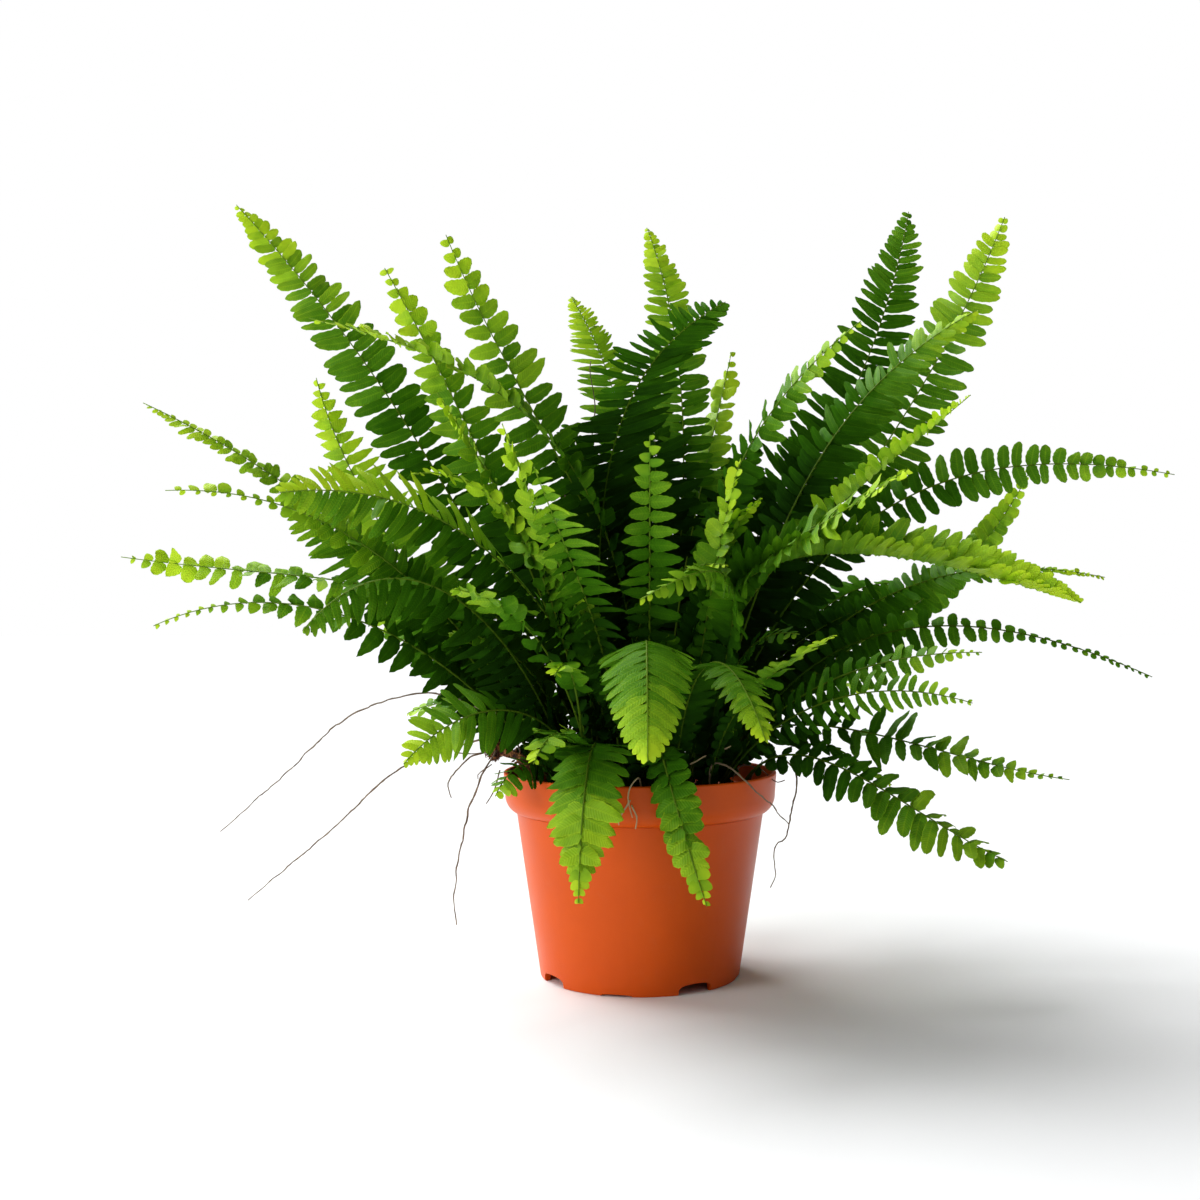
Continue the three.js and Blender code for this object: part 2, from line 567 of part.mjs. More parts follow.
// Each leaflet takes the first fold and length that keep it clear of stems and of the leaflets before it
function placeLeaflet(plan, i, side, ribs, sheets) {
  const [from, to] = [plan.stations[i], plan.stations[i + 1]];
  const full = halfWidthAt((from.share + to.share) / 2, plan.row);
  for (const length of LENGTHS) {
    if (full * length < SHORTEST_LEAFLET) break;
    for (const fold of FOLDS) {
      const shape = leafletShape(from, to, side, fold, full * length);
      const sheet = { ...leafletSheet(shape), owner: plan };
      const blocked = !clearOfPot(shape) || ribs.some((rib) => meetsRib(sheet, rib))
        || sheets.some((other) => meetsSheet(sheet, other));
      if (!blocked) {
        sheets.push(sheet);
        return shape;
      }
    }
  }
  return null;
}

function placeLeaflets(plans, obstacles) {
  const ribs = [...obstacles, ...plans.flatMap(ribObstacles)];
  const sheets = [];
  for (const plan of plans) {
    plan.leaflets = plan.stations.slice(1).map((_, i) => {
      const stalk = plan.stations[i].share < BLADE_START - 1e-9;
      return [-1, 1].map((side) => (stalk ? null : placeLeaflet(plan, i, side, ribs, sheets)));
    });
  }
}

// Frond solids

function mirrored(faces, side) {
  return side > 0 ? faces : faces.map(([a, b, c]) => [a, c, b]);
}

function ringOf(station) {
  return {
    left: notchPoint(station, -1),
    right: notchPoint(station, 1),
    ridge: station.point.clone().addScaledVector(station.up, RIB_RISE),
  };
}

function sideFaces(a, b, shape, side) {
  const [n, m] = side > 0 ? [a.right, b.right] : [a.left, b.left];
  if (!shape) return mirrored([[a.ridge, n, m], [a.ridge, m, b.ridge]], side);
  const { corners: [c, d], crown } = shape;
  const outline = [a.ridge, n, c, d, m, b.ridge];
  const top = outline.map((p, i) => [crown, p, outline[(i + 1) % outline.length]]);
  return mirrored([...top, [n, m, d], [n, d, c]], side);
}

function makeFrond({ stations, leaflets }) {
  const first = stations[0];
  const buried = { ...first, point: first.point.clone().setZ(SOIL_TOP - ROOT_DEPTH) };
  const rings = [ringOf(buried), ...stations.map(ringOf)];
  const sides = [[null, null], ...leaflets];
  const faces = [[rings[0].left, rings[0].right, rings[0].ridge]];
  rings.slice(1).forEach((b, i) => {
    const a = rings[i];
    faces.push(...sideFaces(a, b, sides[i][0], -1), ...sideFaces(a, b, sides[i][1], 1));
    faces.push([a.right, a.left, b.left], [a.right, b.left, b.right]);
  });
  const last = rings[rings.length - 1];
  const { point, along } = stations[stations.length - 1];
  const tip = point.clone().addScaledVector(along, TIP_POINT);
  faces.push([last.ridge, last.right, tip], [last.ridge, tip, last.left], [last.right, last.left, tip]);
  return toSolid(facesGeometry(faces));
}

function joined(solids) {
  return solids.reduce((whole, next) => whole.add(next));
}

function material(colour, roughness) {
  return new THREE.MeshStandardMaterial({ color: new THREE.Color(colour), roughness, metalness: 0 });
}

function frondMaterial(shade) {
  const colour = new THREE.Color(COLOURS.oldFrond).lerp(new THREE.Color(COLOURS.youngFrond), shade);
  const finish = material(colour, 0.5);
  finish.side = THREE.DoubleSide;
  return finish;
}

function addPart(parent, name, solid, finish) {
  const mesh = new THREE.Mesh(toGeometry(solid), finish);
  mesh.name = name;
  parent.add(mesh);
}

const rows = FRONDS.map((values) => Object.fromEntries(COLUMNS.map((column, i) => [column, values[i]])));
const plans = rows.map(planFrond);
placeLeaflets(plans, [...RHIZOME, ...RUNNER_RIGHT, ...ROOT_FRONT].flatMap(runnerObstacles));
const crowns = Map.groupBy(plans, (plan) => plan.row.name);

const rootHole = ({ row: { x, y } }) => ({ x, y, depth: ROOT_DEPTH, radius: RIB_RISE });
const runnerHole = ({ points: [[x, y, z]], halfWidth }) => (
  { x, y, depth: SOIL_TOP - z, radius: halfWidth * Math.SQRT2 });
const holes = [
  ...[...crowns.values()].map(([plan]) => rootHole(plan)),
  ...[RHIZOME[0], ...RUNNER_RIGHT, ROOT_FRONT[0]].map(runnerHole),
];

const rhizome = joined([makeRhizomeHead(), ...RHIZOME.map(makeRunner)]);

const group = new THREE.Group();
addPart(group, 'pot', makePot(), material(COLOURS.pot, 0.45));
addPart(group, 'soil', makeSoil(holes), material(COLOURS.soil, 0.95));
addPart(group, 'rhizome', rhizome, material(COLOURS.rhizome, 0.8));
addPart(group, 'runner_right', joined(RUNNER_RIGHT.map(makeRunner)), material(COLOURS.runner, 0.8));
addPart(group, 'root_front', joined(ROOT_FRONT.map(makeRunner)), material(COLOURS.runner, 0.8));
for (const [name, fronds] of crowns) {
  addPart(group, name, joined(fronds.map(makeFrond)), frondMaterial(fronds[0].row.shade));
}

export default group;
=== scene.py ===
"""Looks of the potted sword fern: fine fronds, runners, soil, pot, floor, light and camera."""
import math

import bpy
import numpy as np
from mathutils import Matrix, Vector, noise


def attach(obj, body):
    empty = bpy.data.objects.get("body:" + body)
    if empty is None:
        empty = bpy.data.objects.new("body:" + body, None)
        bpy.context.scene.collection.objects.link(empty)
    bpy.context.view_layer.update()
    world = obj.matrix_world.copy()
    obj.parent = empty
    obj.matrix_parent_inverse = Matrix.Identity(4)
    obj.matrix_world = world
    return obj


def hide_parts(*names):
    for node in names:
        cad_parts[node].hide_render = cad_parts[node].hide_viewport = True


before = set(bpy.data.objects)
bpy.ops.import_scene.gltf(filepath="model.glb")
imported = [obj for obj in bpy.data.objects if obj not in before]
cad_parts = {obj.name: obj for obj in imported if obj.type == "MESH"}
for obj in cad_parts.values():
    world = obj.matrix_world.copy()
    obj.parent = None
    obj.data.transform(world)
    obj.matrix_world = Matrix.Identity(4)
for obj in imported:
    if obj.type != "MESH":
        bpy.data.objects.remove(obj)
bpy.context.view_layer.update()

MM = 0.001
SEED = 11
SHOOTS_SEED = SEED + 900
RUNNERS_SEED = SEED + 500
BODY = "root"

# Pot and soil, in millimetres, as in the solids
POT_HEIGHT = 89
RIM_RADIUS = 60
RIM_LOWER_RADIUS = 59.3
RIM_ROUND_TOP = 79
RIM_BOTTOM = 71.5
BODY_TOP_RADIUS = 54.2
FOOT_RADIUS = 43.7
FOOT_WIDTH = 2.1
FOOT_HEIGHT = 4.4
HUB_RADIUS = 16
WALL = 1.8
NOTCH_ANGLES = (-58, 32, 122, 212)
NOTCH_WIDTH = 16
NOTCH_REACH = 6
SHALLOW_NOTCH_TURN = 45
SHALLOW_NOTCH_WIDTH = 13
SHALLOW_NOTCH_HEIGHT = 1
DRAIN_RADIUS = 4
DRAIN_PLACE = 30
DRAIN_SIDES = 24
FIT_GAP = 0.35
SOIL_TOP = 78
SOIL_EDGE = 77
SOIL_WAVE = 0.6
SOIL_RINGS = 55
SOIL_SIDES = 150
CLODS = 700
CLOD_REACH = 53
CLOD_SIZE = 0.5
CLOD_SPREAD = 1.3
SOIL_LEVEL = 42
SOIL_SLOPE = 11

# Fronds
COLLAR_HEIGHT = 2.5
ROOT_DEPTH = 5
BLADE_START = 0.16
LEAFLETS_START = 0.06
TAPER_FROM = 0.55
TAIL_TAPER_FROM = 0.4
BLUNTNESS = 0.72
TAIL_SHARPNESS = 1.2
FIRST_WIDTH = 0.45
LEAST_WIDTH = 0.12
RACHIS_RADII = (0.85, 0.5, 0.2)
RACHIS_STEP = 4
RACHIS_SIDES = 6
PATH_STEPS = 160
# Painted shade: leaflets near the crown's middle are made darker as if shaded. The next three numbers are
# the middle and reach of that darkening, in millimetres, and its strength
CROWN_MIDDLE = (8, 18, 130)
CROWN_RADII = (112, 84, 104)
CROWN_PAINTED_SHADE = 0.56
OLD_BELOW = 0.35
YOUNG_FROM = 0.7
SHOOTS = 46
SHOOT_ROOTS = 50
SHOOT_REACH = 56
ODD_SHARE = 0.06
ODD_TURN = 26
END_LIGHT = 0.14
VEIN_PITCH = 1.15

# Camera: where the photograph was taken from, in metres
CAMERA_PLACE = (0.0, -0.662, 0.164)
CAMERA_LENS = 45.0
CAMERA_SENSOR = 36
CAMERA_SHIFT = -40 / 1200


class Frond:
    """One frond, in millimetres and degrees.

    Around and reach are where its tip is, counted from +X towards +Y. Rise is the slope at its root and
    fall the slope at its tip, roll turns its face, and shade goes from 0 for old and dark to 1 for new
    growth. Shade follows the tone each frond shows, so it is part age and part painted light and shade.
    Sway bends it sideways, bow is how full its arch is, full is the share of the blade where it is at its
    widest, and tail goes from 0 for a blunt tip to 1 for a long thin one.

    Habit is how it carries its leaflets, where the photograph shows it: pitch, fullness as their half
    width in pitches, droop, lean, twist and sweep, and curl as the sag along a leaflet. Lean adds to the
    droop of one side, tip_lean does so in the outer part, skew to its sweep, bias to its length and pale
    to its shade. Pale lightens the leaflets of one side only, as painted light on the side that catches
    the light. At the tip, tip_pitch is the pitch's share, tip_leaf the least length, and flag what the
    last leaflets of each side are longer by. Scale makes all of them longer, unrest is how much they
    differ, and pointed goes from blunt to pointed. They start at the share start of the frond, and their
    leaf_shade goes over into tip_shade, late where ripening is high. Like shade, these two follow the
    tone each frond shows: part age and part painted shade, and painted shade alone below 0.
    """

    def __init__(self, name, x, y, around, reach, height, rise, fall, roll, width, shade,
                 sway=0, bow=0.38, roll_tip=None, full=0.25, tail=0, **habit):
        self.name, self.x, self.y = name, x, y
        self.around, self.reach, self.height = around, reach, height
        self.rise, self.fall, self.sway, self.bow = rise, fall, sway, bow
        self.roll, self.roll_tip = roll, roll if roll_tip is None else roll_tip
        self.width, self.full, self.tail, self.shade = width, full, tail, shade
        self.habit = habit


# Fronds of one name share a root and are one node
FRONDS = [
    Frond("left_01", -14, 12, 163, 203, 354, 60, 46, 60, 40, 0.25, pitch=6.2, fullness=0.5, tip_pitch=0.6,
          pointed=0.1, tip_leaf=3, twist=8, scale=0.85, leaf_shade=0.3),
    Frond("left_02", 2, -16, 200, 144, 279, 88, 10, 10, 36, 0.75, bow=0.48, pitch=5.6, droop=-18,
          twist=10, fullness=0.58, tip_pitch=0.9, tip_leaf=7, scale=0.85, leaf_shade=0.6, pointed=0.4),
    Frond("left_03", -8, 4, 170, 118, 315, 66, 60, 70, 36, 0.6, tail=0.4, pitch=7.8, fullness=0.5,
          tip_pitch=0.75, tip_leaf=9, pointed=0.7, twist=6, leaf_shade=0.5),
    Frond("left_04", 6, 2, 186, 85, 323, 92, 68, 75, 38, 0.55, tail=0.3, pitch=7.6, fullness=0.47,
          tip_pitch=0.85, tip_leaf=10, pointed=0.4, twist=6, leaf_shade=0.45, sweep=-2),
    Frond("left_05", -20, 10, 165, 157, 268, 42, 75, 80, 26, 0.8, bow=0.3, tail=0.3, pitch=5.8,
          fullness=0.5, tip_pitch=0.85, tip_leaf=9, twist=8, scale=1.7, leaf_shade=0.85, pointed=1,
          sweep=-4),
    Frond("left_06", -24, 4, 176, 225, 253, 50, 25, 50, 24, 0.5, roll_tip=30, tail=0.4, pitch=4.8,
          fullness=0.46, tip_leaf=3, flag=(4, 0.5), twist=5, droop=0, leaf_shade=0.8),
    Frond("left_07", -28, -10, 189, 202, 210, 58, -3, 20, 34, 0.6, roll_tip=60, tail=0.9, pitch=6.2,
          tip_leaf=1.8, flag=(0, 4.5), leaf_shade=0.75, tip_pitch=1.05),
    Frond("left_08", -10, -24, 216, 169, 204, 80, -10, 20, 42, 0.8, bow=0.4, roll_tip=45, pitch=4.2,
          fullness=0.46, droop=6, lean=-4, tip_lean=-22, twist=4, sweep=14, curl=0.2, leaf_shade=0.2,
          pale=0.45, tip_leaf=5, tip_shade=0.8),
    Frond("left_09", -26, -2, 180, 158, 209, 50, 32, 40, 40, 0.4, roll_tip=50, pitch=4.8, fullness=0.46,
          pointed=0.5, leaf_shade=0.3, tip_shade=0.85),
    Frond("left_10", -32, -8, 180, 229, 183, 72, 8, -50, 30, 0.7, bow=0.5, roll_tip=75, tail=0.2,
          pitch=6.6, fullness=0.46, tip_pitch=1.0, tip_leaf=5.5, flag=(2, 2), scale=0.8, pointed=0.6,
          unrest=1.6),
    Frond("left_11", -36, -12, 187, 208, 153, 60, -25, 30, 32, 0.5, roll_tip=60, tail=0.8, pitch=8.2,
          fullness=0.46, tip_leaf=2.2, tip_pitch=0.45, pointed=0.9),
    Frond("left_12", -28, -22, 211, 153, 152, 75, -50, 30, 40, 0.35, bow=0.5, pitch=5.6, fullness=0.4,
          droop=34, curl=0.3, sweep=6, leaf_shade=0.1, twist=14),
    Frond("left_13", -37, 12, 155, 144, 164, 52, 10, 60, 42, 0.1, pitch=6.6, fullness=0.5, pointed=0.1,
          leaf_shade=0.25),
    Frond("left_13", -37, 12, 155, 122, 110, 50, -25, 40, 20, 0.4, bow=0.4, leaf_shade=0.5),
    Frond("left_14", -18, -32, 226, 125, 212, 76, -10, 10, 20, 0.75, roll_tip=20, full=0.5, pitch=5.4,
          tip_pitch=0.9, tip_leaf=6, twist=26, scale=0.9, leaf_shade=0.6, fullness=0.55, unrest=1.4),
    Frond("left_14", -18, -32, 238, 130, 168, 72, 5, 0, 17, 0.7, bow=0.4, full=0.5, pitch=7.4,
          tip_pitch=0.8, tip_leaf=9, twist=26, leaf_shade=0.2, fullness=0.46, unrest=1.8, pointed=0.8,
          start=0.5, tip_shade=0.75),
    Frond("left_15", -24, -27, 212, 112, 98, 80, -48, 20, 36, 0.3, bow=0.55, roll_tip=40, tail=0.2,
          pitch=4.2, fullness=0.5, droop=4, lean=-22, sweep=16, leaf_shade=0.65),
    Frond("left_16", -31, -32, 220, 77, 84, 75, -65, 20, 24, 0.1, bow=0.6, pitch=3.8, fullness=0.5,
          droop=12, leaf_shade=0.38),
    Frond("left_17", -4, -29, 217, 102, 247, 72, 55, 40, 26, 0.85, roll_tip=20, full=0.5, pitch=5.6,
          tip_pitch=0.85, tip_leaf=7, twist=30, fullness=0.54, unrest=1.4, pointed=0.6, leaf_shade=0.35),
    Frond("left_17", -4, -29, 240, 105, 231, 74, 60, 20, 22, 0.95, full=0.5, pitch=5.6, tip_pitch=0.85,
          tip_leaf=8, twist=20, fullness=0.54, unrest=1.6, pointed=0.5, leaf_shade=0.4),
    Frond("centre_01", 0, 24, 108, 115, 320, 72, 50, 10, 36, 0.55, sway=-20, pitch=3.9, fullness=0.44,
          curl=0.3, pointed=0.5, tip_leaf=3, leaf_shade=0.4),
    Frond("centre_02", 6, 20, 88, 100, 353, 70, 55, 0, 32, 0.5, sway=-25, pitch=4.6, fullness=0.47,
          pointed=0, tip_leaf=3, scale=0.92, leaf_shade=0.4),
    Frond("centre_03", -20, -12, 328, 43, 291, 84, 26, -80, 48, 0.05, pitch=4.0, fullness=0.47, twist=7,
          sweep=0, skew=30, pointed=0.3, leaf_shade=-0.1, unrest=1.1, tip_shade=0.35),
    Frond("centre_04", 10, 16, 63, 101, 288, 84, 62, 0, 20, 0.9, tail=0.3, pitch=7.0, fullness=0.5,
          tip_pitch=0.85, tip_leaf=8, scale=1.3, pointed=0.4, leaf_shade=0.7),
    Frond("centre_05", 4, -26, 272, 105, 225, 76, 75, 0, 22, 0.5, full=0.55, pitch=6.2, fullness=0.42,
          pointed=0.8, droop=6, twist=8, curl=0.16, sweep=-6, bias=-0.1, leaf_shade=0.06, tip_pitch=0.75,
          tip_leaf=5, scale=1.1, tip_shade=0.8),
    Frond("centre_06", 20, -34, 296, 89, 219, 80, 58, 80, 20, 0.85, full=0.5, pitch=5.2, tip_pitch=0.9,
          tip_leaf=4.5, fullness=0.5, unrest=1.5, leaf_shade=0.6),
    Frond("centre_06", 20, -34, 309, 77, 204, 74, 18, 20, 16, 0.5, full=0.5, pitch=5.6, tip_leaf=5.5,
          fullness=0.48, unrest=1.2, leaf_shade=0.3),
    Frond("centre_07", -8, -37, 254, 136, 211, 88, 42, -20, 21, 0.6, full=0.55, pitch=5.6, fullness=0.34,
          twist=6, tip_pitch=0.8, tip_leaf=4, pointed=1, curl=0.5, droop=10, bias=-0.18, sweep=-4,
          leaf_shade=0.1, scale=1.15, tip_shade=0.8),
    Frond("front_01", 2, -38, 271, 150, 109, 66, -68, 0, 34, 0.75, bow=0.65, pitch=4.5, fullness=0.54,
          droop=8, twist=2, sweep=10, curl=0.28, leaf_shade=0.6, unrest=0.2, pointed=0.1, scale=1.12,
          tip_leaf=8, ripening=6),
    Frond("front_02", 14, -36, 289, 137, 114, 80, -48, 0, 22, 0.75, bow=0.6, pitch=4.4, fullness=0.54,
          droop=4, twist=2, sweep=20, curl=0.12, leaf_shade=0.55, scale=1.25, unrest=0.4, pointed=0.8,
          tip_leaf=5, ripening=5),
    Frond("front_03", -14, -40, 255, 91, 48, 72, -85, 0, 28, 0.55, bow=0.9, tail=0.4, pitch=4.8,
          fullness=0.84, droop=4, twist=2, sweep=12, curl=0.12, tip_leaf=5, scale=1.2, unrest=0.8,
          pointed=0.7, leaf_shade=0.95, ripening=4, tip_shade=1.0),
    Frond("front_04", 11, -43, 287, 88, 46, 74, -70, 0, 19, 0.55, sway=-50, bow=0.9, tail=0.2, pitch=5.2,
          fullness=0.84, droop=2, twist=10, sweep=12, curl=0.12, tip_leaf=5, leaf_shade=0.75, unrest=1.1,
          pointed=0.6, ripening=3, tip_shade=1.0),
    Frond("front_05", -22, -40, 247, 103, 102, 66, -40, 0, 18, 0.75, bow=0.5, pitch=4.8, tip_leaf=5,
          tip_pitch=0.9, leaf_shade=0.4, fullness=0.6, unrest=1.4),
    Frond("front_05", -22, -40, 254, 114, 136, 70, -20, 0, 15, 0.65, bow=0.45, pitch=5.2, tip_leaf=6,
          leaf_shade=0.25, fullness=0.6, unrest=1.6, start=0.55),
    Frond("front_06", 25, -28, 270, 130, 164, 80, -30, 30, 18, 0.35, sway=60, bow=0.5, full=0.5, tail=0.3,
          pitch=4.8, tip_leaf=6, leaf_shade=0.2, fullness=0.56, scale=1.25, droop=20),
    Frond("right_01", 6, 10, 31, 155, 356, 66, 78, -60, 42, 0.1, pitch=4.9, fullness=0.47, pointed=0.2,
          leaf_shade=0, tip_shade=0.6),
    Frond("right_02", 20, 8, 13, 175, 343, 66, 68, -70, 40, 0.5, pitch=6.2, fullness=0.46, tip_pitch=0.6,
          pointed=0.1, tip_leaf=4, leaf_shade=0.36),
    Frond("right_03", 22, -4, 356, 147, 290, 70, 28, -55, 34, 0.5, roll_tip=-50, pitch=4.4, fullness=0.5,
          twist=6, sweep=12, tip_leaf=3.5, leaf_shade=-0.1, pointed=0.2, ripening=2.6, tip_shade=1.0),
    Frond("right_04", 14, -12, 326, 107, 276, 80, 32, -65, 30, 0.5, bow=0.42, roll_tip=-55, tail=0.2,
          pitch=5.4, fullness=0.54, tip_pitch=0.75, tip_leaf=4.5, leaf_shade=0.12, pointed=0.5,
          tip_shade=1.0, ripening=2.6),
    Frond("right_05", 10, 26, 34, 114, 254, 70, 50, -50, 42, 0.0, pitch=4.6, fullness=0.46, scale=1.1,
          leaf_shade=-0.1, tip_shade=0.35),
    Frond("right_06", 22, -15, 332, 148, 245, 88, 38, -20, 28, 0.85, bow=0.42, full=0.5, pitch=4.4,
          fullness=0.62, droop=-30, curl=-0.3, tip_leaf=2.6, scale=0.6, twist=20, unrest=1.6,
          leaf_shade=0.6),
    Frond("right_07", 15, -25, 315, 142, 213, 88, 28, -30, 28, 0.75, bow=0.58, full=0.5, pitch=4.6,
          fullness=0.62, droop=-8, tip_leaf=4.5, scale=1.3, unrest=1.3, leaf_shade=0.5),
    Frond("right_08", 28, 3, 2, 239, 220, 72, -10, -75, 34, 0.15, bow=0.47, tail=0.3, pitch=6.6,
          fullness=0.42, twist=6, sweep=2, tip_pitch=0.75, tip_leaf=5, scale=0.8, pointed=0.1,
          leaf_shade=0.2),
    Frond("right_09", 26, 18, 25, 216, 229, 48, 60, -50, 24, 0.65, pitch=6.4, fullness=0.62, twist=24,
          tip_leaf=5, tip_pitch=0.7, scale=0.85, pointed=0, lean=26, tip_lean=26, leaf_shade=0.35),
    Frond("right_10", 8, -34, 326, 196, 163, 84, -18, -25, 34, 0.7, bow=0.6, pitch=3.7, fullness=0.9,
          droop=-44, twist=3, sweep=28, curl=-0.1, unrest=0.6, leaf_shade=0.55, pointed=0.5),
    Frond("right_11", 34, 14, 17, 237, 175, 62, -10, -30, 26, 0.3, bow=0.42, tail=0.5, pitch=4.4,
          tip_leaf=3.6, leaf_shade=0.4),
    Frond("right_12", 36, -2, 0, 226, 130, 68, -24, -80, 34, 0.05, bow=0.46, roll_tip=-30, tail=1,
          pitch=6.2, fullness=0.42, twist=6, sweep=0, tip_leaf=2.6, tip_pitch=0.45, scale=0.8, pointed=0,
          leaf_shade=0.6, tip_shade=0.6),
    Frond("right_13", 32, -22, 336, 150, 143, 64, 0, -50, 24, 0.3, tail=0.3, pitch=5.4, fullness=0.42,
          lean=12, twist=10, curl=0.2, scale=0.8, tip_pitch=0.7, leaf_shade=0.55, tip_shade=0.85),
    Frond("right_13", 32, -22, 328, 152, 124, 58, -15, -60, 24, 0.2, tail=0.3, pitch=5.2, fullness=0.34,
          lean=24, twist=10, curl=0.25, scale=0.9, tip_pitch=0.6, leaf_shade=0.6, tip_shade=0.85),
    Frond("right_14", 36, 6, 354, 185, 87, 80, -6, -40, 34, 0.3, tail=0.6, pitch=6.2, fullness=0.5,
          twist=24, curl=0.05, unrest=1.6, pointed=0.7, leaf_shade=0.8, tip_shade=0.8),
    Frond("right_14", 36, 6, 23, 130, 76, 60, -35, -20, 20, 0.3, bow=0.45),
    Frond("right_15", 42, -20, 342, 158, 57, 66, -23, -30, 32, 0.3, bow=0.42, pitch=6.0, fullness=0.56,
          twist=16, unrest=1.2, pointed=0.3, leaf_shade=0.75, tip_shade=0.75),
    Frond("right_16", 28, -34, 303, 131, 151, 78, 20, -10, 15, 0.45, full=0.4, pitch=4.4, tip_leaf=4,
          fullness=0.56, droop=-12, leaf_shade=0.35),
    Frond("right_17", 30, 26, 37, 168, 172, 54, -5, -30, 36, 0.05, fullness=0.56),
    Frond("back_01", 22, 30, 60, 190, 200, 62, -10, 0, 40, 0.2, bow=0.4, fullness=0.56),
    Frond("back_02", 4, 34, 85, 210, 170, 58, -20, 0, 40, 0.4, bow=0.4, fullness=0.56),
    Frond("back_03", -10, 30, 110, 200, 215, 62, 0, 0, 38, 0.3, bow=0.4, fullness=0.56),
    Frond("back_04", -26, 26, 135, 190, 175, 57, -15, 0, 40, 0.2, bow=0.4, fullness=0.56),
    Frond("back_05", 14, 42, 75, 150, 110, 66, -40, 0, 34, 0.4, bow=0.45),
    Frond("back_06", -12, 42, 115, 145, 95, 66, -50, 0, 34, 0.3, bow=0.45),
    Frond("back_06", -12, 42, 94, 88, 45, 76, -85, 0, 28, 0.5, bow=0.9),
    Frond("back_07", 32, 34, 45, 165, 115, 62, -35, 0, 34, 0.3, bow=0.45),
]

# Rhizome and wiry stems: radii, and the points that each passes through
STEM_RADIUS = 2.1
RUNNER_RADIUS = 0.46
TWIG_RADIUS = 0.3
STRAW_RADIUS = 0.34
WIRE_STEP = 1.6
HEAD_SCALES = 240
RHIZOME_STEM = [(-46, -9, 73), (-46.5, -9, 84), (-51, -8.5, 94), (-64, -6, 99)]
HEAD_CENTRE = (-63.5, -6, 99)
HEAD_RADII = (3.6, 4, 5.2)
LEFT_RUNNERS = [
    [(-49, -9, 91), (-56, -3, 104), (-70, 0, 116), (-86, 0, 122), (-97, 0, 123), (-128, -2, 113),
     (-154, -5, 89), (-183, -8, 63)],
    [(-62, -7, 100), (-67, -8, 103), (-80, -8, 100), (-96, -8, 94), (-105, -8, 90.5), (-135, -8, 63.5),
     (-171, -8, 33)],
    [(-63, -8, 98), (-73, -12, 96.5), (-78, -13, 92), (-82.5, -14, 86.5), (-83, -14, 83.5),
     (-81.5, -14, 78.5)],
    [(-62, -9, 99), (-67.5, -16, 90), (-70, -17, 83), (-73.5, -18, 75.5), (-75, -18, 68), (-78, -19, 51),
     (-79.5, -20, 35), (-78.5, -20, 25)],
]
RIGHT_RUNNERS = [
    [(46, -9, 73), (46.5, -9, 82), (52, -10, 92), (61, -12, 95.5), (68, -14, 88), (66, -16, 77),
     (64, -18, 67.5), (62, -18, 61.5), (59, -18, 59.5), (57.5, -18, 56.5), (58, -18, 50), (58.5, -18, 46),
     (56, -18, 40.5)],
    [(29, -40, 73), (29, -40, 84), (29.5, -39.5, 95), (34, -42, 96.5), (40.5, -46.5, 92.5),
     (47.5, -42.5, 85), (54.5, -34.5, 79), (59, -26, 73), (64, -18, 67.5)],
]
FRONT_ROOTS = [
    [(1, -49, 73), (1, -49.5, 82), (0, -53, 91), (-2, -60, 92), (-4.8, -62.5, 87), (-3, -62.5, 77)],
]

# Broken roots and a bare stalk, and bits of straw on the soil
TWIGS = [
    [(-80, -14, 98), (-73, -14, 97.5), (-66, -12, 98)],
    [(-67, -14, 100), (-66.5, -14, 95.8)],
    [(-64, -14, 93), (-67.4, -14, 90.6), (-70, -14, 88.4), (-70, -14, 86.7)],
    [(-60.5, -14, 90.5), (-63.3, -14, 81), (-66.5, -14, 75.9)],
    [(36, -24, 80), (43.2, -22, 93.4), (51.8, -20, 91.2), (58.6, -20, 86.1), (62, -20, 86.9)],
    [(-34, 8, 206), (-32.7, 8, 214.6), (-29, 9, 224.5), (-23.7, 10, 231), (-20.2, 10, 249),
     (-22.4, 10, 267), (-22, 10, 271)],
]
STRAWS = [
    [(20.7, -41, 96), (24, -41.5, 97.6), (27.4, -42, 99.7)],
    [(32, -38, 100), (35, -38.5, 102), (37.8, -39, 103.4)],
    [(8, -50, 79.5), (13, -47, 80), (17, -43, 79)],
    [(-3.9, -62.6, 84), (-6.4, -62.8, 80), (-8.6, -62.6, 76.4), (-8.4, -62.4, 74)],
    [(-3.4, -62.6, 82), (-1.4, -62.8, 77), (-1.8, -62.4, 72.5)],
]
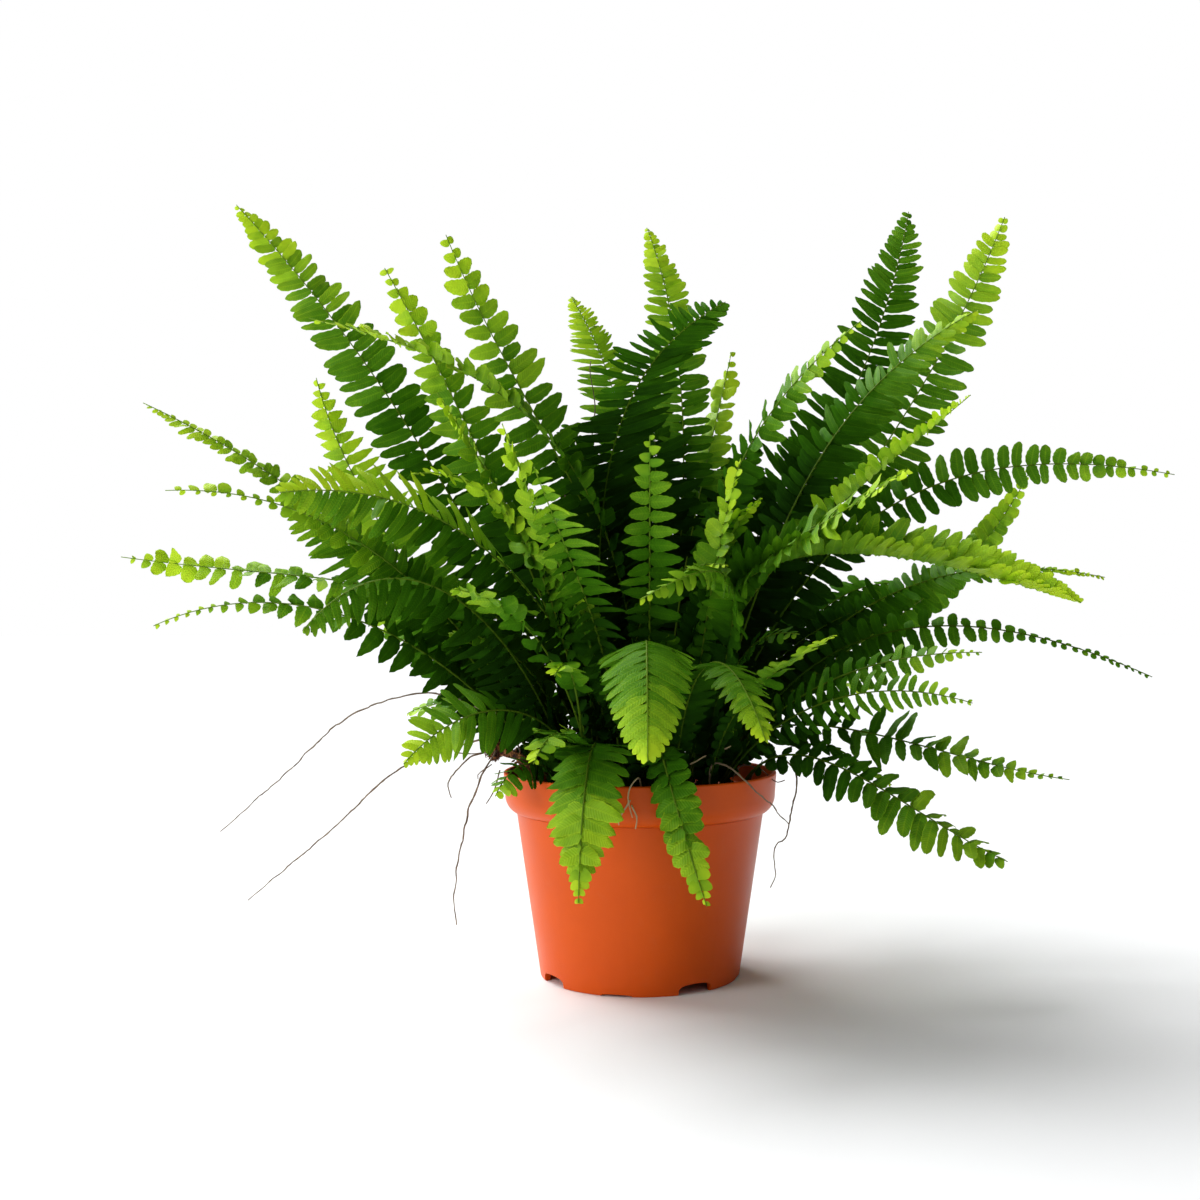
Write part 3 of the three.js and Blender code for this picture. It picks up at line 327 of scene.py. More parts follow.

# Small fronds of the crown's middle, as the photograph shows them, and dark ones behind it, whose tone
# below the oldest green is painted shade
FILLER = dict(bow=0.4, pitch=5, fullness=0.62, pointed=0.2, leaf_shade=-0.1, tip_shade=0.3)
SPRIGS = [
    Frond("sprig", -8, -24, 296, 78, 178, 84, -4, -10, 22, 0.45, bow=0.5, tail=0.1),
    Frond("sprig", 20, -20, 309, 77, 205, 80, 30, -20, 15, 0.4, bow=0.4, full=0.4),
    Frond("sprig", -20, -22, 250, 70, 165, 80, 10, 10, 18, 0.3, bow=0.4, full=0.3),
    Frond("sprig", 26, -18, 320, 84, 150, 78, -10, -30, 20, 0.2, bow=0.4, full=0.3),
    Frond("sprig", -26, -8, 205, 88, 150, 74, 0, 30, 20, 0.2, bow=0.4, full=0.3),
    Frond("sprig", 4, -14, 280, 66, 150, 84, 20, 0, 20, 0.1, bow=0.4, full=0.3),
    Frond("upright", -20, -44, 244, 69, 113, 85, 20, 0, 13, 0.6, bow=0.4, full=0.5, start=0.6, tip_leaf=5,
          fullness=0.6),
    Frond("filler", -6, 26, 120, 70, 248, 80, 50, 0, 44, 0, **FILLER),
    Frond("filler", 8, 28, 85, 74, 268, 80, 50, 0, 44, 0, **FILLER),
    Frond("filler", 14, 22, 50, 84, 238, 76, 50, -20, 44, 0, **FILLER),
    Frond("filler", 22, 16, 30, 96, 208, 72, 40, -30, 40, 0, **FILLER),
    Frond("filler", -14, 20, 150, 84, 214, 74, 40, 20, 42, 0, **FILLER),
    Frond("filler", 26, 10, 20, 110, 160, 66, 20, -30, 36, 0, **FILLER),
    Frond("filler", 10, 30, 72, 60, 180, 84, 40, 0, 44, 0, **FILLER),
    Frond("filler", -10, 30, 104, 60, 170, 84, 40, 0, 44, 0, **FILLER),
]


def unit(v):
    return v / np.linalg.norm(v, axis=-1, keepdims=True)


def direction(heading, slope):
    h, e = math.radians(heading), math.radians(slope)
    return np.array([math.cos(h) * math.cos(e), math.sin(h) * math.cos(e), math.sin(e)])


# Meshes

def add_object(name, data):
    item = bpy.data.objects.new(name, data)
    bpy.context.scene.collection.objects.link(item)
    return item


def mesh_object(name, verts, faces):
    """An object in the scene, from points in millimetres."""
    mesh = bpy.data.meshes.new(name)
    mesh.from_pydata((np.asarray(verts, float) * MM).tolist(), [], faces)
    return add_object(name, mesh)


def new_object(name, verts, faces, material, attributes=None):
    """A smooth object with its material, and with a number for each point in each attribute."""
    piece = mesh_object(name, verts, faces)
    mesh = piece.data
    mesh.polygons.foreach_set("use_smooth", [True] * len(mesh.polygons))
    for key, values in (attributes or {}).items():
        mesh.attributes.new(key, "FLOAT", "POINT").data.foreach_set("value", np.asarray(values, np.float32))
    mesh.materials.append(material)
    mesh.update()
    return piece


def dress(piece, slot, *nodes):
    """Puts a finished piece in the place of its nodes."""
    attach(piece, BODY)
    if nodes:
        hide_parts(*nodes)


def merge(parts, keys=()):
    """One set of points, faces and attributes from several."""
    verts, faces, start = [], [], 0
    attributes = {key: [] for key in keys}
    for part_verts, part_faces, part_attributes in parts:
        verts.append(part_verts)
        faces += [tuple(i + start for i in face) for face in part_faces]
        for key in keys:
            attributes[key].append(part_attributes.get(key, np.zeros(len(part_verts))))
        start += len(part_verts)
    joined = {key: np.concatenate(values) for key, values in attributes.items()}
    return np.concatenate(verts), faces, joined


def add_piece(name, parts, material, slot, *nodes, keys=()):
    """Joins parts into one finished piece, in the place of its nodes."""
    verts, faces, attributes = merge(parts, keys)
    dress(new_object(name, verts, faces, material, attributes), slot, *nodes)


def ring(radius, sides):
    """Points all round a circle."""
    turns = np.arange(sides) * 2 * math.pi / sides
    return [(radius * math.cos(a), radius * math.sin(a)) for a in turns]


def ring_tube(points, across, up, radii, sides):
    """Points and faces of a closed tube round a path, with its own across and up at each point."""
    turns = np.arange(sides) * 2 * math.pi / sides
    circle = np.cos(turns)[None, :, None] * across[:, None] + np.sin(turns)[None, :, None] * up[:, None]
    verts = (points[:, None] + circle * radii[:, None, None]).reshape(-1, 3)
    faces = []
    for i in range(len(points) - 1):
        for j in range(sides):
            k = (j + 1) % sides
            faces.append((i * sides + j, i * sides + k, (i + 1) * sides + k, (i + 1) * sides + j))
    last = (len(points) - 1) * sides
    faces.append(tuple(reversed(range(sides))))
    faces.append(tuple(range(last, last + sides)))
    return verts, faces


# Frond paths

def bezier(ends, t):
    a, b, c, d = ends
    t = np.asarray(t, float)[:, None]
    u = 1 - t
    return u**3 * a + 3 * u * u * t * b + 3 * u * t * t * c + t**3 * d


def bezier_slope(ends, t):
    a, b, c, d = ends
    t = np.asarray(t, float)[:, None]
    u = 1 - t
    return unit(u * u * (b - a) + 2 * u * t * (c - b) + t * t * (d - c))


def frond_ends(frond):
    root = np.array([frond.x, frond.y, SOIL_TOP + COLLAR_HEIGHT], float)
    tip = direction(frond.around, 0) * frond.reach + np.array([0, 0, frond.height])
    chord = tip - root
    heading = math.degrees(math.atan2(chord[1], chord[0]))
    handle = frond.bow * np.linalg.norm(chord)
    leaving = root + direction(heading + frond.sway, frond.rise) * handle
    arriving = tip - direction(heading - frond.sway, frond.fall) * handle
    return root, leaving, arriving, tip


class Path:
    """A frond's midline, with point, along, across and up at any share of its length."""

    def __init__(self, frond):
        ends = frond_ends(frond)
        t = np.linspace(0, 1, PATH_STEPS + 1)
        points = bezier(ends, t)
        run = np.concatenate([[0], np.cumsum(np.linalg.norm(np.diff(points, axis=0), axis=1))])
        self.length = run[-1]
        self.shares = np.linspace(0, 1, PATH_STEPS + 1)
        even = np.interp(self.shares * self.length, run, t)
        self.points = bezier(ends, even)
        self.along = bezier_slope(ends, even)
        chord = ends[3] - ends[0]
        side = unit(np.array([chord[1], -chord[0], 0.0]))
        across, up = [], []
        for share, along in zip(self.shares, self.along):
            side = unit(side - along * side.dot(along))
            top = np.cross(side, along)
            roll = math.radians(frond.roll + (frond.roll_tip - frond.roll) * share)
            across.append(side * math.cos(roll) + top * math.sin(roll))
            up.append(top * math.cos(roll) - side * math.sin(roll))
        self.across, self.up = np.array(across), np.array(up)

    def at(self, shares):
        found = []
        for part in (self.points, self.along, self.across, self.up):
            found.append(np.stack([np.interp(shares, self.shares, part[:, k]) for k in range(3)], axis=1))
        point, along, across, up = found
        return point, unit(along), unit(across), unit(up)


def half_width(frond, shares):
    v = (shares - BLADE_START) / (1 - BLADE_START)
    lower = FIRST_WIDTH * np.clip((shares - LEAFLETS_START) / (BLADE_START - LEAFLETS_START), 0.3, 1)
    widening = np.minimum(1, lower + (1 - FIRST_WIDTH) * np.maximum(v, 0) / frond.full)
    start = TAPER_FROM + (TAIL_TAPER_FROM - TAPER_FROM) * frond.tail
    w = np.clip((v - start) / (1 - start), 0, 1)
    taper = (1 - w ** (2 - frond.tail)) ** (BLUNTNESS + TAIL_SHARPNESS * frond.tail)
    return frond.width / 2 * widening * np.maximum(taper, LEAST_WIDTH)


# Leaflets

LEAF_THICKNESS = 0.22
RUFFLE = 0.14
LEAF_ARCH = 0.12
RIB_GROOVE = 0.1
LENGTH_UNREST = 0.06
WIDTH_UNREST = 0.08
SWEEP_UNREST = 4
DROOP_UNREST = 6
TWIST_UNREST = 8
TIP_SWEEP = 22
CRENATION = 0.04
SMALL_LEAFLET = 6.5


class LeafGrid:
    """One leaflet's skin in shares along and across, with its rim, its underside and its faces."""

    def __init__(self, along, across):
        rows, columns = len(along), len(across)
        a, b = (grid.ravel() for grid in np.meshgrid(along, across, indexing="ij"))
        top = np.arange(rows * columns).reshape(rows, columns)
        under = top.copy()
        inner = top[1:-1, 1:-1]
        under[1:-1, 1:-1] = rows * columns + np.arange(inner.size).reshape(inner.shape)
        self.a = np.concatenate([a, a[inner.ravel()]])
        self.b = np.concatenate([b, b[inner.ravel()]])
        self.below = np.concatenate([np.zeros(rows * columns), np.ones(inner.size)])
        self.margin = (np.abs(self.b) == 1) | (self.a == 0) | (self.a == 1)
        self.veined = rows > 6
        self.ribs = self.b if self.veined else np.full(len(self.b), 0.5)
        tooth = self.veined * np.where(np.searchsorted(along, self.a) % 2 == 0, CRENATION, -CRENATION)
        tooth = tooth * (np.abs(self.b) > 0.9) * (self.a % 1 > 0.05)
        self.blunt = leaf_outline(self.a, self.b, 0.3, 0.55, 2.4, 0.5) + tooth
        self.pointed = leaf_outline(self.a, self.b, 0.2, 0.22, 1.7, 0.85) + tooth
        quads = []
        for i in range(rows - 1):
            for j in range(columns - 1):
                quads.append((top[i, j], top[i + 1, j], top[i + 1, j + 1], top[i, j + 1]))
                quads.append((under[i, j], under[i, j + 1], under[i + 1, j + 1], under[i + 1, j]))
        self.quads = np.array(quads)


def leaf_outline(a, b, full, narrowing, fall, end):
    """Half width of a leaflet as a share, with an ear on the side of the frond's tip.

    Full and narrowing are where it reaches and leaves its full width. Fall and end are how it narrows.
    """
    base = 0.58 + 0.42 * np.clip(a / full, 0, 1) ** 0.8
    ear = 0.2 * np.exp(-((a - 0.14) / 0.09) ** 2) * (b > 0)
    past = np.maximum(0, a - narrowing) / (1.005 - narrowing)
    return (base + ear) * np.maximum(0, 1 - past**fall) ** end


FINE_GRID = LeafGrid(np.array([0, 0.07, 0.17, 0.29, 0.41, 0.53, 0.65, 0.77, 0.88, 0.96, 1.0]),
                     np.array([-1, -0.55, 0, 0.55, 1]))
SMALL_GRID = LeafGrid(np.array([0, 0.15, 0.4, 0.65, 0.88, 1.0]), np.array([-1, 0, 1]))


def leaflet_room(share, habit):
    v = (share - BLADE_START) / (1 - BLADE_START)
    return habit["pitch"] * (1 - (1 - habit["tip_pitch"]) * np.clip((v - 0.6) / 0.4, 0, 1))


def leaflet_places(path, habit, rng):
    """Shares along the frond of its leaflets on one side, closer together towards the tip."""
    share = habit["start"] + rng.uniform(0, 0.5) * habit["pitch"] / path.length
    shares = []
    while share < 0.995:
        shares.append(share)
        share += rng.uniform(0.9, 1.1) * leaflet_room(share, habit) / path.length
    return np.array(shares)


def tip_youth(shade):
    """How new a frond's growth is at its tip, from its shade."""
    return min(1.08, 0.45 + 2.4 * shade)


def youth(shade, tip, v, ripening=2.4):
    """From 0 for dark old green to 1 for yellow new growth, at a share of a blade's length."""
    base = 0.75 * shade * (0.3 + 0.7 * np.clip(v / 0.6, 0, 1))
    return base + (tip - base) * np.clip(v, 0, 1) ** ripening


def painted_crown_shade(points):
    """Painted shade: from 0 outside the crown to 1 in its middle, where leaflets are darkened as if shaded.
    """
    away = (points - np.array(CROWN_MIDDLE)) / np.array(CROWN_RADII)
    return np.clip(1.25 - np.linalg.norm(away, axis=1), 0, 1)


def tilted_frames(leaf):
    """Axis, forward and normal directions of leaflets, swept, drooped and turned on their axes."""
    out, along, up = leaf["out"], leaf["along"], leaf["up"]
    sweep, droop, twist = (leaf[key][:, None] for key in ("sweep", "droop", "twist"))
    axis = unit(out * np.cos(sweep) + along * np.sin(sweep))
    axis = unit(axis * np.cos(droop) - up * np.sin(droop))
    forward = unit(along - axis * (along * axis).sum(1)[:, None])
    normal = np.cross(axis, forward) * leaf["side"]
    cos, sin = np.cos(twist), np.sin(twist)
    return axis, forward * cos + normal * sin, normal * cos - forward * sin


def leaf_skin(grid, leaf):
    """Points, faces and attributes of leaflets with one grid. Leaf holds an array for each measure."""
    count, size = len(leaf["length"]), grid.a.size
    a, b = grid.a[None], grid.b[None]
    length, half, wave = (leaf[key][:, None] for key in ("length", "half", "wave"))
    axis, forward, normal = (way[:, None] for way in tilted_frames(leaf))
    ruffle = RUFFLE * grid.veined * np.sin(8 * a + 3 * wave + b) * b**2
    outline = grid.blunt[None] + leaf["pointed"][:, None] * (grid.pointed - grid.blunt)[None]
    x = a * length
    y = b * outline * half + leaf["sickle"][:, None] * a**2 * length
    fold = half * (ruffle - LEAF_ARCH * b**2 - RIB_GROOVE * np.exp(-(b / 0.3) ** 2))
    z = fold - leaf["curl"][:, None] * a**2 * length - grid.below[None] * LEAF_THICKNESS
    verts = leaf["point"][:, None] + x[..., None] * axis
    verts = verts + y[..., None] * forward + z[..., None] * normal
    quads = grid.quads if leaf["side"] > 0 else grid.quads[:, ::-1]
    faces = (quads[None] + (np.arange(count) * size)[:, None, None]).reshape(-1, 4)
    attributes = dict(
        young=(leaf["young"][:, None] + END_LIGHT * (a - 0.4)).ravel(),
        tint=np.repeat(leaf["tint"], size),
        across=np.tile(grid.ribs, count),
        below=np.tile(grid.below, count),
        margin=np.tile(grid.margin, count),
        vein=(grid.veined * (a * length - 0.6 * np.abs(b) * half) / VEIN_PITCH).ravel(),
    )
    return verts.reshape(-1, 3), faces.tolist(), attributes


def leaflets(frond, path, side, habit, rng):
    """Skins of all the leaflets on one side of a frond, the small ones with fewer faces."""
    shares = leaflet_places(path, habit, rng)
    point, along, across, up = path.at(shares)
    v = np.maximum(0, (shares - BLADE_START) / (1 - BLADE_START))
    jitter = habit["unrest"] * rng.normal(size=(5, len(shares)))
    odd = rng.uniform(size=len(shares)) < ODD_SHARE * habit["unrest"]
    odd = ODD_TURN * odd * rng.choice((-1, 1), len(shares))
    shortest = habit["tip_leaf"] * np.clip((1.01 - v) / 0.12, 0.35, 1)
    flag = habit["flag"][side > 0] * np.exp(-((v - 0.89) / 0.055) ** 2)
    length = half_width(frond, shares) * habit["scale"]
    length = length * (1 + side * habit["bias"] + LENGTH_UNREST * jitter[0])
    length = np.maximum(length, shortest) + flag + 0.3
    half = leaflet_room(shares, habit) * habit["fullness"] * np.interp(v, (0.2, 0.85), (0.86, 1.08))
    half = half * (1 + WIDTH_UNREST * jitter[3])
    droop = habit["droop"] + side * np.interp(v, (0.35, 0.7), (habit["lean"], habit["tip_lean"]))
    sweep = habit["sweep"] + side * habit["skew"] + TIP_SWEEP * v**3
    young = youth(habit["leaf_shade"], habit["tip_shade"], v, habit["ripening"])
    # Pale lifts the tone of the leaflets on one side alone: painted light, for the side that catches the
    # light
    young = young + (side > 0) * habit["pale"]
    leaf = dict(
        point=point,
        along=along,
        out=across * side,
        up=up,
        length=length,
        half=np.minimum(half, length * 0.46),
        sweep=np.radians(sweep + SWEEP_UNREST * jitter[1]),
        droop=np.radians(droop + DROOP_UNREST * jitter[2] + odd),
        twist=np.radians(habit["twist"] + TWIST_UNREST * jitter[3] + 0.7 * odd),
        sickle=0.06 + 0.05 * v + 0.03 * jitter[4],
        curl=habit["curl"] + 0.05 * jitter[2] + 0.5 * np.clip((v - 0.95) / 0.05, 0, 1),
        pointed=np.clip(habit["pointed"] + 0.2 * jitter[1], 0, 1),
        wave=jitter[4],
        # Painted shade: leaflets deep in the crown are made darker here, as if shaded
        young=young + 0.04 * jitter[0] - CROWN_PAINTED_SHADE * painted_crown_shade(point),
        tint=rng.uniform(size=len(shares)),
    )
    small = length < SMALL_LEAFLET
    skins = []
    for grid, pick in ((FINE_GRID, ~small), (SMALL_GRID, small)):
        picked = {key: values[pick] for key, values in leaf.items()}
        skins.append(leaf_skin(grid, {**picked, "side": side}))
    return skins


def rachis(frond, path):
    """Points, faces and attributes of a frond's stem, from in the soil to its tip."""
    shares = np.linspace(0, 1, max(12, int(path.length / RACHIS_STEP)))
    point, _, across, up = path.at(shares)
    radii = np.interp(shares, (0, BLADE_START, 1), RACHIS_RADII)
    point = point + up * (radii * 0.3)[:, None]
    buried = point[0].copy()
    buried[2] = SOIL_TOP - ROOT_DEPTH
    point = np.concatenate([[buried], point])
    across, up, radii = (np.concatenate([part[:1], part]) for part in (across, up, radii))
    verts, faces = ring_tube(point, across, up, radii, RACHIS_SIDES)
    v = np.concatenate([[0], shares])
    attributes = dict(
        young=np.repeat(youth(frond.shade, tip_youth(frond.shade), v), RACHIS_SIDES),
        stem=np.repeat(np.clip(1.2 - v / (0.6 * BLADE_START + 0.05), 0.0, 1) + 0.001, RACHIS_SIDES),
    )
    return verts, faces, attributes


FROND_KEYS = ("young", "tint", "across", "below", "vein", "stem", "margin")


def frond_slot(shade):
    if shade < OLD_BELOW:
        return "frond_old"
    return "frond_full" if shade < YOUNG_FROM else "frond_young"


def sharpen(mesh, margin):
    """Makes the edges between marked points sharp, so that a thin leaf looks thin."""
    pairs = np.zeros(2 * len(mesh.edges), int)
    mesh.edges.foreach_get("vertices", pairs)
    sharp = margin[pairs].reshape(-1, 2).all(axis=1)
    mesh.attributes.new("sharp_edge", "BOOLEAN", "EDGE").data.foreach_set("value", sharp)


def frond_parts(frond, rng):
    """The stem of a frond and its leaflets."""
    path, habit = Path(frond), frond_habit(frond, rng)
    parts = [rachis(frond, path)]
    for side in (-1, 1):
        parts += leaflets(frond, path, side, habit, rng)
    return parts


def leafy_object(name, parts, material):
    verts, faces, attributes = merge(parts, FROND_KEYS)
    margin = attributes.pop("margin")
    piece = new_object(name, verts, faces, material, attributes)
    sharpen(piece.data, margin)
    return piece


def frond_habit(frond, rng):
    """How a frond carries its leaflets: like shutters with gaps between them, but for what its row says."""
    own = frond.habit
    usual = dict(
        pitch=4.4 + 0.045 * frond.width,
        fullness=rng.uniform(0.42, 0.47),
        droop=rng.uniform(-4, 12),
        lean=0,
        tip_lean=own.get("lean", 0),
        bias=0,
        scale=1,
        twist=rng.uniform(6, 22),
        sweep=rng.uniform(3, 10),
        curl=rng.uniform(0.08, 0.18),
        pointed=rng.uniform(0.1, 0.5),
        tip_pitch=0.6,
        tip_leaf=2.0,
        flag=(0, 0),
        unrest=1,
        skew=0,
        start=LEAFLETS_START,
        leaf_shade=frond.shade,
        tip_shade=tip_youth(own.get("leaf_shade", frond.shade)),
        ripening=2.4,
        pale=0,
    )
    return {**usual, **own}


def make_fronds(materials):
    """One piece for each frond node, with both its fronds where two share a root."""
    crowns, slots = {}, {}
    for number, frond in enumerate(FRONDS):
        rng = np.random.default_rng(SEED + number)
        crowns.setdefault(frond.name, []).extend(frond_parts(frond, rng))
        slots.setdefault(frond.name, frond_slot(frond.shade))
    for name, parts in crowns.items():
        piece = leafy_object(f"fine_frond_{name}", parts, materials[slots[name]])
        dress(piece, slots[name], f"frond_{name}")


def shoot(rng):
    """A short frond that grows from anywhere in the pot and leans a little outward."""
    place, turn = SHOOT_ROOTS * math.sqrt(rng.uniform(0.02, 1)), rng.uniform(0, 360)
    x, y, _ = place * direction(turn, 0)
    reach = min(math.hypot(x, y) + rng.uniform(4, 22), SHOOT_REACH)
    around, height = turn + rng.uniform(-16, 16), rng.uniform(96, 128)
    fall, roll, roll_tip = rng.uniform(-40, 50), rng.uniform(-40, 40), rng.uniform(-40, 40)
    width, shade = rng.uniform(13, 22), rng.uniform(0, 0.3)
    return Frond("shoot", x, y, around, reach, height, 80, fall, roll, width, shade, bow=0.4,
                 roll_tip=roll_tip, full=0.3, tail=0.2, fullness=0.52, tip_leaf=3)


def make_shoots(material):
    """Short fronds between the stems, where the crown hides the soil, and the sprigs above them."""
    rng = np.random.default_rng(SHOOTS_SEED)
    parts = []
    for _ in range(SHOOTS):
        parts += frond_parts(shoot(rng), rng)
    for frond in SPRIGS:
        parts += frond_parts(frond, rng)
    dress(leafy_object("crown_shoots", parts, material), "frond_old")


# Materials

def srgb(red, green, blue):
    shares = (value / 255 for value in (red, green, blue))
    return tuple(c / 12.92 if c <= 0.04045 else ((c + 0.055) / 1.055) ** 2.4 for c in shares) + (1.0,)


class Graph:
    """A material and the nodes that make it up."""

    def __init__(self, name):
        self.material = bpy.data.materials.new(name)
        self.material.use_nodes = True
        self.tree = self.material.node_tree
        self.tree.nodes.clear()

    def put(self, socket, value):
        if isinstance(value, bpy.types.NodeSocket):
            self.tree.links.new(value, socket)
        else:
            socket.default_value = value

    def node(self, kind, inputs=None, **settings):
        node = self.tree.nodes.new("ShaderNode" + kind)
        for key, value in settings.items():
            setattr(node, key, value)
        for key, value in (inputs or {}).items():
            self.put(node.inputs[key], value)
        return node

    def attribute(self, name):
        return self.node("Attribute", attribute_name=name).outputs["Fac"]

    def noise(self, scale, detail, roughness=0.55):
        inputs = {"Scale": scale, "Detail": detail, "Roughness": roughness}
        inputs["Vector"] = self.node("TexCoord").outputs["Object"]
        return self.node("TexNoise", inputs).outputs["Fac"]

    def ramp(self, value, *stops):
        node = self.node("ValToRGB", {"Fac": value})
        elements = node.color_ramp.elements
        while len(elements) < len(stops):
            elements.new(0.5)
        for element, (position, *colour) in zip(elements, stops):
            element.position, element.color = position, srgb(*colour)
        return node.outputs["Color"]

    def between(self, value, low, high):
        """From one colour to another over the middle of a noise."""
        return self.ramp(value, (0.3, *low), (0.7, *high))

    def mix(self, factor, a, b):
        return self.node("Mix", {0: factor, 6: a, 7: b}, data_type="RGBA").outputs[2]

    def math(self, operation, a, b=0.0):
        return self.node("Math", {0: a, 1: b}, operation=operation).outputs[0]

    def times(self, a, b):
        return self.math("MULTIPLY", a, b)

    def vary(self, value, other, amount):
        """A value that goes up and down with another around the other's middle."""
        return self.math("ADD", value, self.times(self.math("SUBTRACT", other, 0.5), amount))

    def fit(self, value, low, high, to_low=0.0, to_high=1.0, kind="SMOOTHSTEP"):
        inputs = {"Value": value, "From Min": low, "From Max": high, "To Min": to_low, "To Max": to_high}
        return self.node("MapRange", inputs, interpolation_type=kind).outputs["Result"]

    def bump(self, height, distance):
        return self.node("Bump", {"Height": height, "Distance": distance}).outputs["Normal"]

    def principled(self, colour, rough, specular, normal=None):
        inputs = {"Base Color": colour, "Roughness": rough, "Specular IOR Level": specular}
        if normal is not None:
            inputs["Normal"] = normal
        return self.node("BsdfPrincipled", inputs).outputs["BSDF"]

    def finish(self, shader):
        self.node("OutputMaterial", {"Surface": shader})
        return self.material


# Leaf colours along the tone from -0.4 to 1. The range up to 0.286 stands for tones below 0, darker than
# the oldest green, and is painted shade
LEAF_STOPS = (
    (0.0, 10, 22, 6),
    (0.286, 28, 62, 12),
    (0.5, 51, 102, 14),
    (0.714, 90, 147, 24),
    (0.893, 160, 204, 38),
    (1.0, 200, 230, 44),
)


def stalk_colour(g, young):
    """Green stalks with brown bark at their foot."""
    bark = g.between(g.noise(700, 3), (50, 40, 16), (84, 72, 32))
    stalk = g.ramp(young, (0.0, 36, 62, 10), (1.0, 118, 152, 36))
    return g.mix(g.fit(g.attribute("stem"), 0.1, 1.0), stalk, bark)


def leaf_material(name):
    g = Graph(name)
    young, tint = g.attribute("young"), g.attribute("tint")
    across = g.math("ABSOLUTE", g.attribute("across"))
    mottle = g.noise(220, 2)
    # The leaf colour follows a tone of age and painted shade, from -0.4 for the darkest painted shade to 1
    # for new growth
    scale = g.fit(g.vary(g.vary(young, tint, 0.16), mottle, 0.2), -0.4, 1.0, kind="LINEAR")
    blade, light = g.ramp(scale, *LEAF_STOPS), g.ramp(g.math("ADD", scale, 0.2), *LEAF_STOPS)
    wave = g.math("SINE", g.times(g.attribute("vein"), 2 * math.pi))
    rib = g.times(g.fit(across, 0.0, 0.16, 1.0, 0.0), 0.32)
    edge = g.fit(across, 0.8, 1.0, 0.0, 0.45)
    vein = g.fit(wave, 0.5, 1.0, 0.0, 0.16)
    below = g.times(g.attribute("below"), 0.2)
    for share in (rib, edge, vein, below):
        blade = g.mix(share, blade, light)
    colour = g.mix(g.fit(g.attribute("stem"), 0.0, 0.0005), blade, stalk_colour(g, young))
    normal = g.bump(g.math("ADD", g.times(wave, 0.35), g.times(mottle, 0.5)), 0.00012)
    gloss = g.fit(scale, 0.45, 0.85, 0.0, 0.12)
    rough = g.fit(scale, 0.2, 0.6, 0.62, 0.45)
    glow = g.node("BsdfTranslucent", {"Color": g.mix(0.35, colour, srgb(170, 214, 20))}).outputs["BSDF"]
    both = {0: 0.3, 1: g.principled(colour, rough, gloss, normal), 2: glow}
    return g.finish(g.node("MixShader", both).outputs["Shader"])


def pot_material():
    g = Graph("moulded_pot")
    cloud = g.noise(26, 4, 0.6)
    dust = g.fit(g.noise(70, 6, 0.7), 0.56, 0.76, 0.0, 0.12)
    colour = g.mix(dust, g.between(cloud, (210, 80, 3), (218, 86, 6)), srgb(206, 116, 74))
    rough = g.fit(cloud, 0.3, 0.7, 0.36, 0.46)
    return g.finish(g.principled(colour, rough, 0.2, g.bump(g.noise(1500, 2), 0.00004)))


def soil_material():
    g = Graph("peat_soil")
    colour = g.ramp(g.noise(320, 6, 0.65), (0.3, 22, 15, 10), (0.55, 48, 34, 24), (0.75, 84, 62, 44))
    return g.finish(g.principled(colour, 0.95, 0.15, g.bump(g.noise(900, 5, 0.7), 0.0008)))


def rhizome_material():
    g = Graph("scaly_rhizome")
    scaly = g.ramp(g.noise(600, 4), (0.34, 40, 20, 10), (0.5, 96, 52, 26), (0.66, 178, 122, 66))
    wiry = g.between(g.noise(300, 4), (84, 66, 52), (142, 124, 104))
    colour = g.mix(g.attribute("wiry"), scaly, wiry)
    return g.finish(g.principled(colour, 0.7, 0.3, g.bump(g.noise(1600, 3), 0.0003)))


def wire_material():
    g = Graph("wiry_runner")
    colour = g.between(g.noise(300, 4), (72, 52, 40), (132, 112, 92))
    colour = g.mix(g.attribute("straw"), colour, srgb(214, 190, 146))
    return g.finish(g.principled(colour, 0.75, 0.25, g.bump(g.noise(1800, 3), 0.0002)))


def floor_material():
    g = Graph("pale_floor")
    colour = g.between(g.noise(3, 2), (240, 241, 242), (242, 243, 244))
    return g.finish(g.principled(colour, 0.6, 0.2))


# Pot

POT_SIDES = 180
SHARP_TURN = 40


def rounded(corners):
    """A profile of (radius, height, rounding) corners, each rounding made of short steps."""
    points = []
    for i, (r, z, size) in enumerate(corners):
        here = np.array([r, z], float)
        if not size:
            points.append(here)
            continue
        before = unit(np.array(corners[i - 1][:2], float) - here)
        after = unit(np.array(corners[(i + 1) % len(corners)][:2], float) - here)
        a, c = here + before * size, here + after * size
        for t in np.linspace(0, 1, 5):
            points.append((1 - t) ** 2 * a + 2 * t * (1 - t) * here + t * t * c)
    return points


def turned_faces(rings, sides):
    """Faces of a closed body round the upright axis: a point, rings from below to above, and a point."""
    faces = []
    end, last = 1 + (rings - 1) * sides, 1 + rings * sides
    for j in range(sides):
        k = (j + 1) % sides
        faces.append((0, 1 + k, 1 + j))
        for i in range(1, end, sides):
            faces.append((i + j, i + k, i + sides + k, i + sides + j))
        faces.append((end + j, end + k, last))
    return faces


def lathe(profile, sides):
    """A closed turned body. Its profile starts and ends on the axis."""
    verts = [(0, 0, profile[0][1])]
    for r, z in profile[1:-1]:
        verts += [(x, y, z) for x, y in ring(r, sides)]
    verts.append((0, 0, profile[-1][1]))
    return verts, turned_faces(len(profile) - 2, sides)


def rim_round():
    points = []
    for angle in range(-86, 0, 12):
        a = math.radians(angle)
        r = BODY_TOP_RADIUS - 1 + (RIM_LOWER_RADIUS - BODY_TOP_RADIUS + 1) * math.cos(a)
        points.append((r, RIM_ROUND_TOP + (RIM_ROUND_TOP - RIM_BOTTOM) * math.sin(a), 0))
    return points


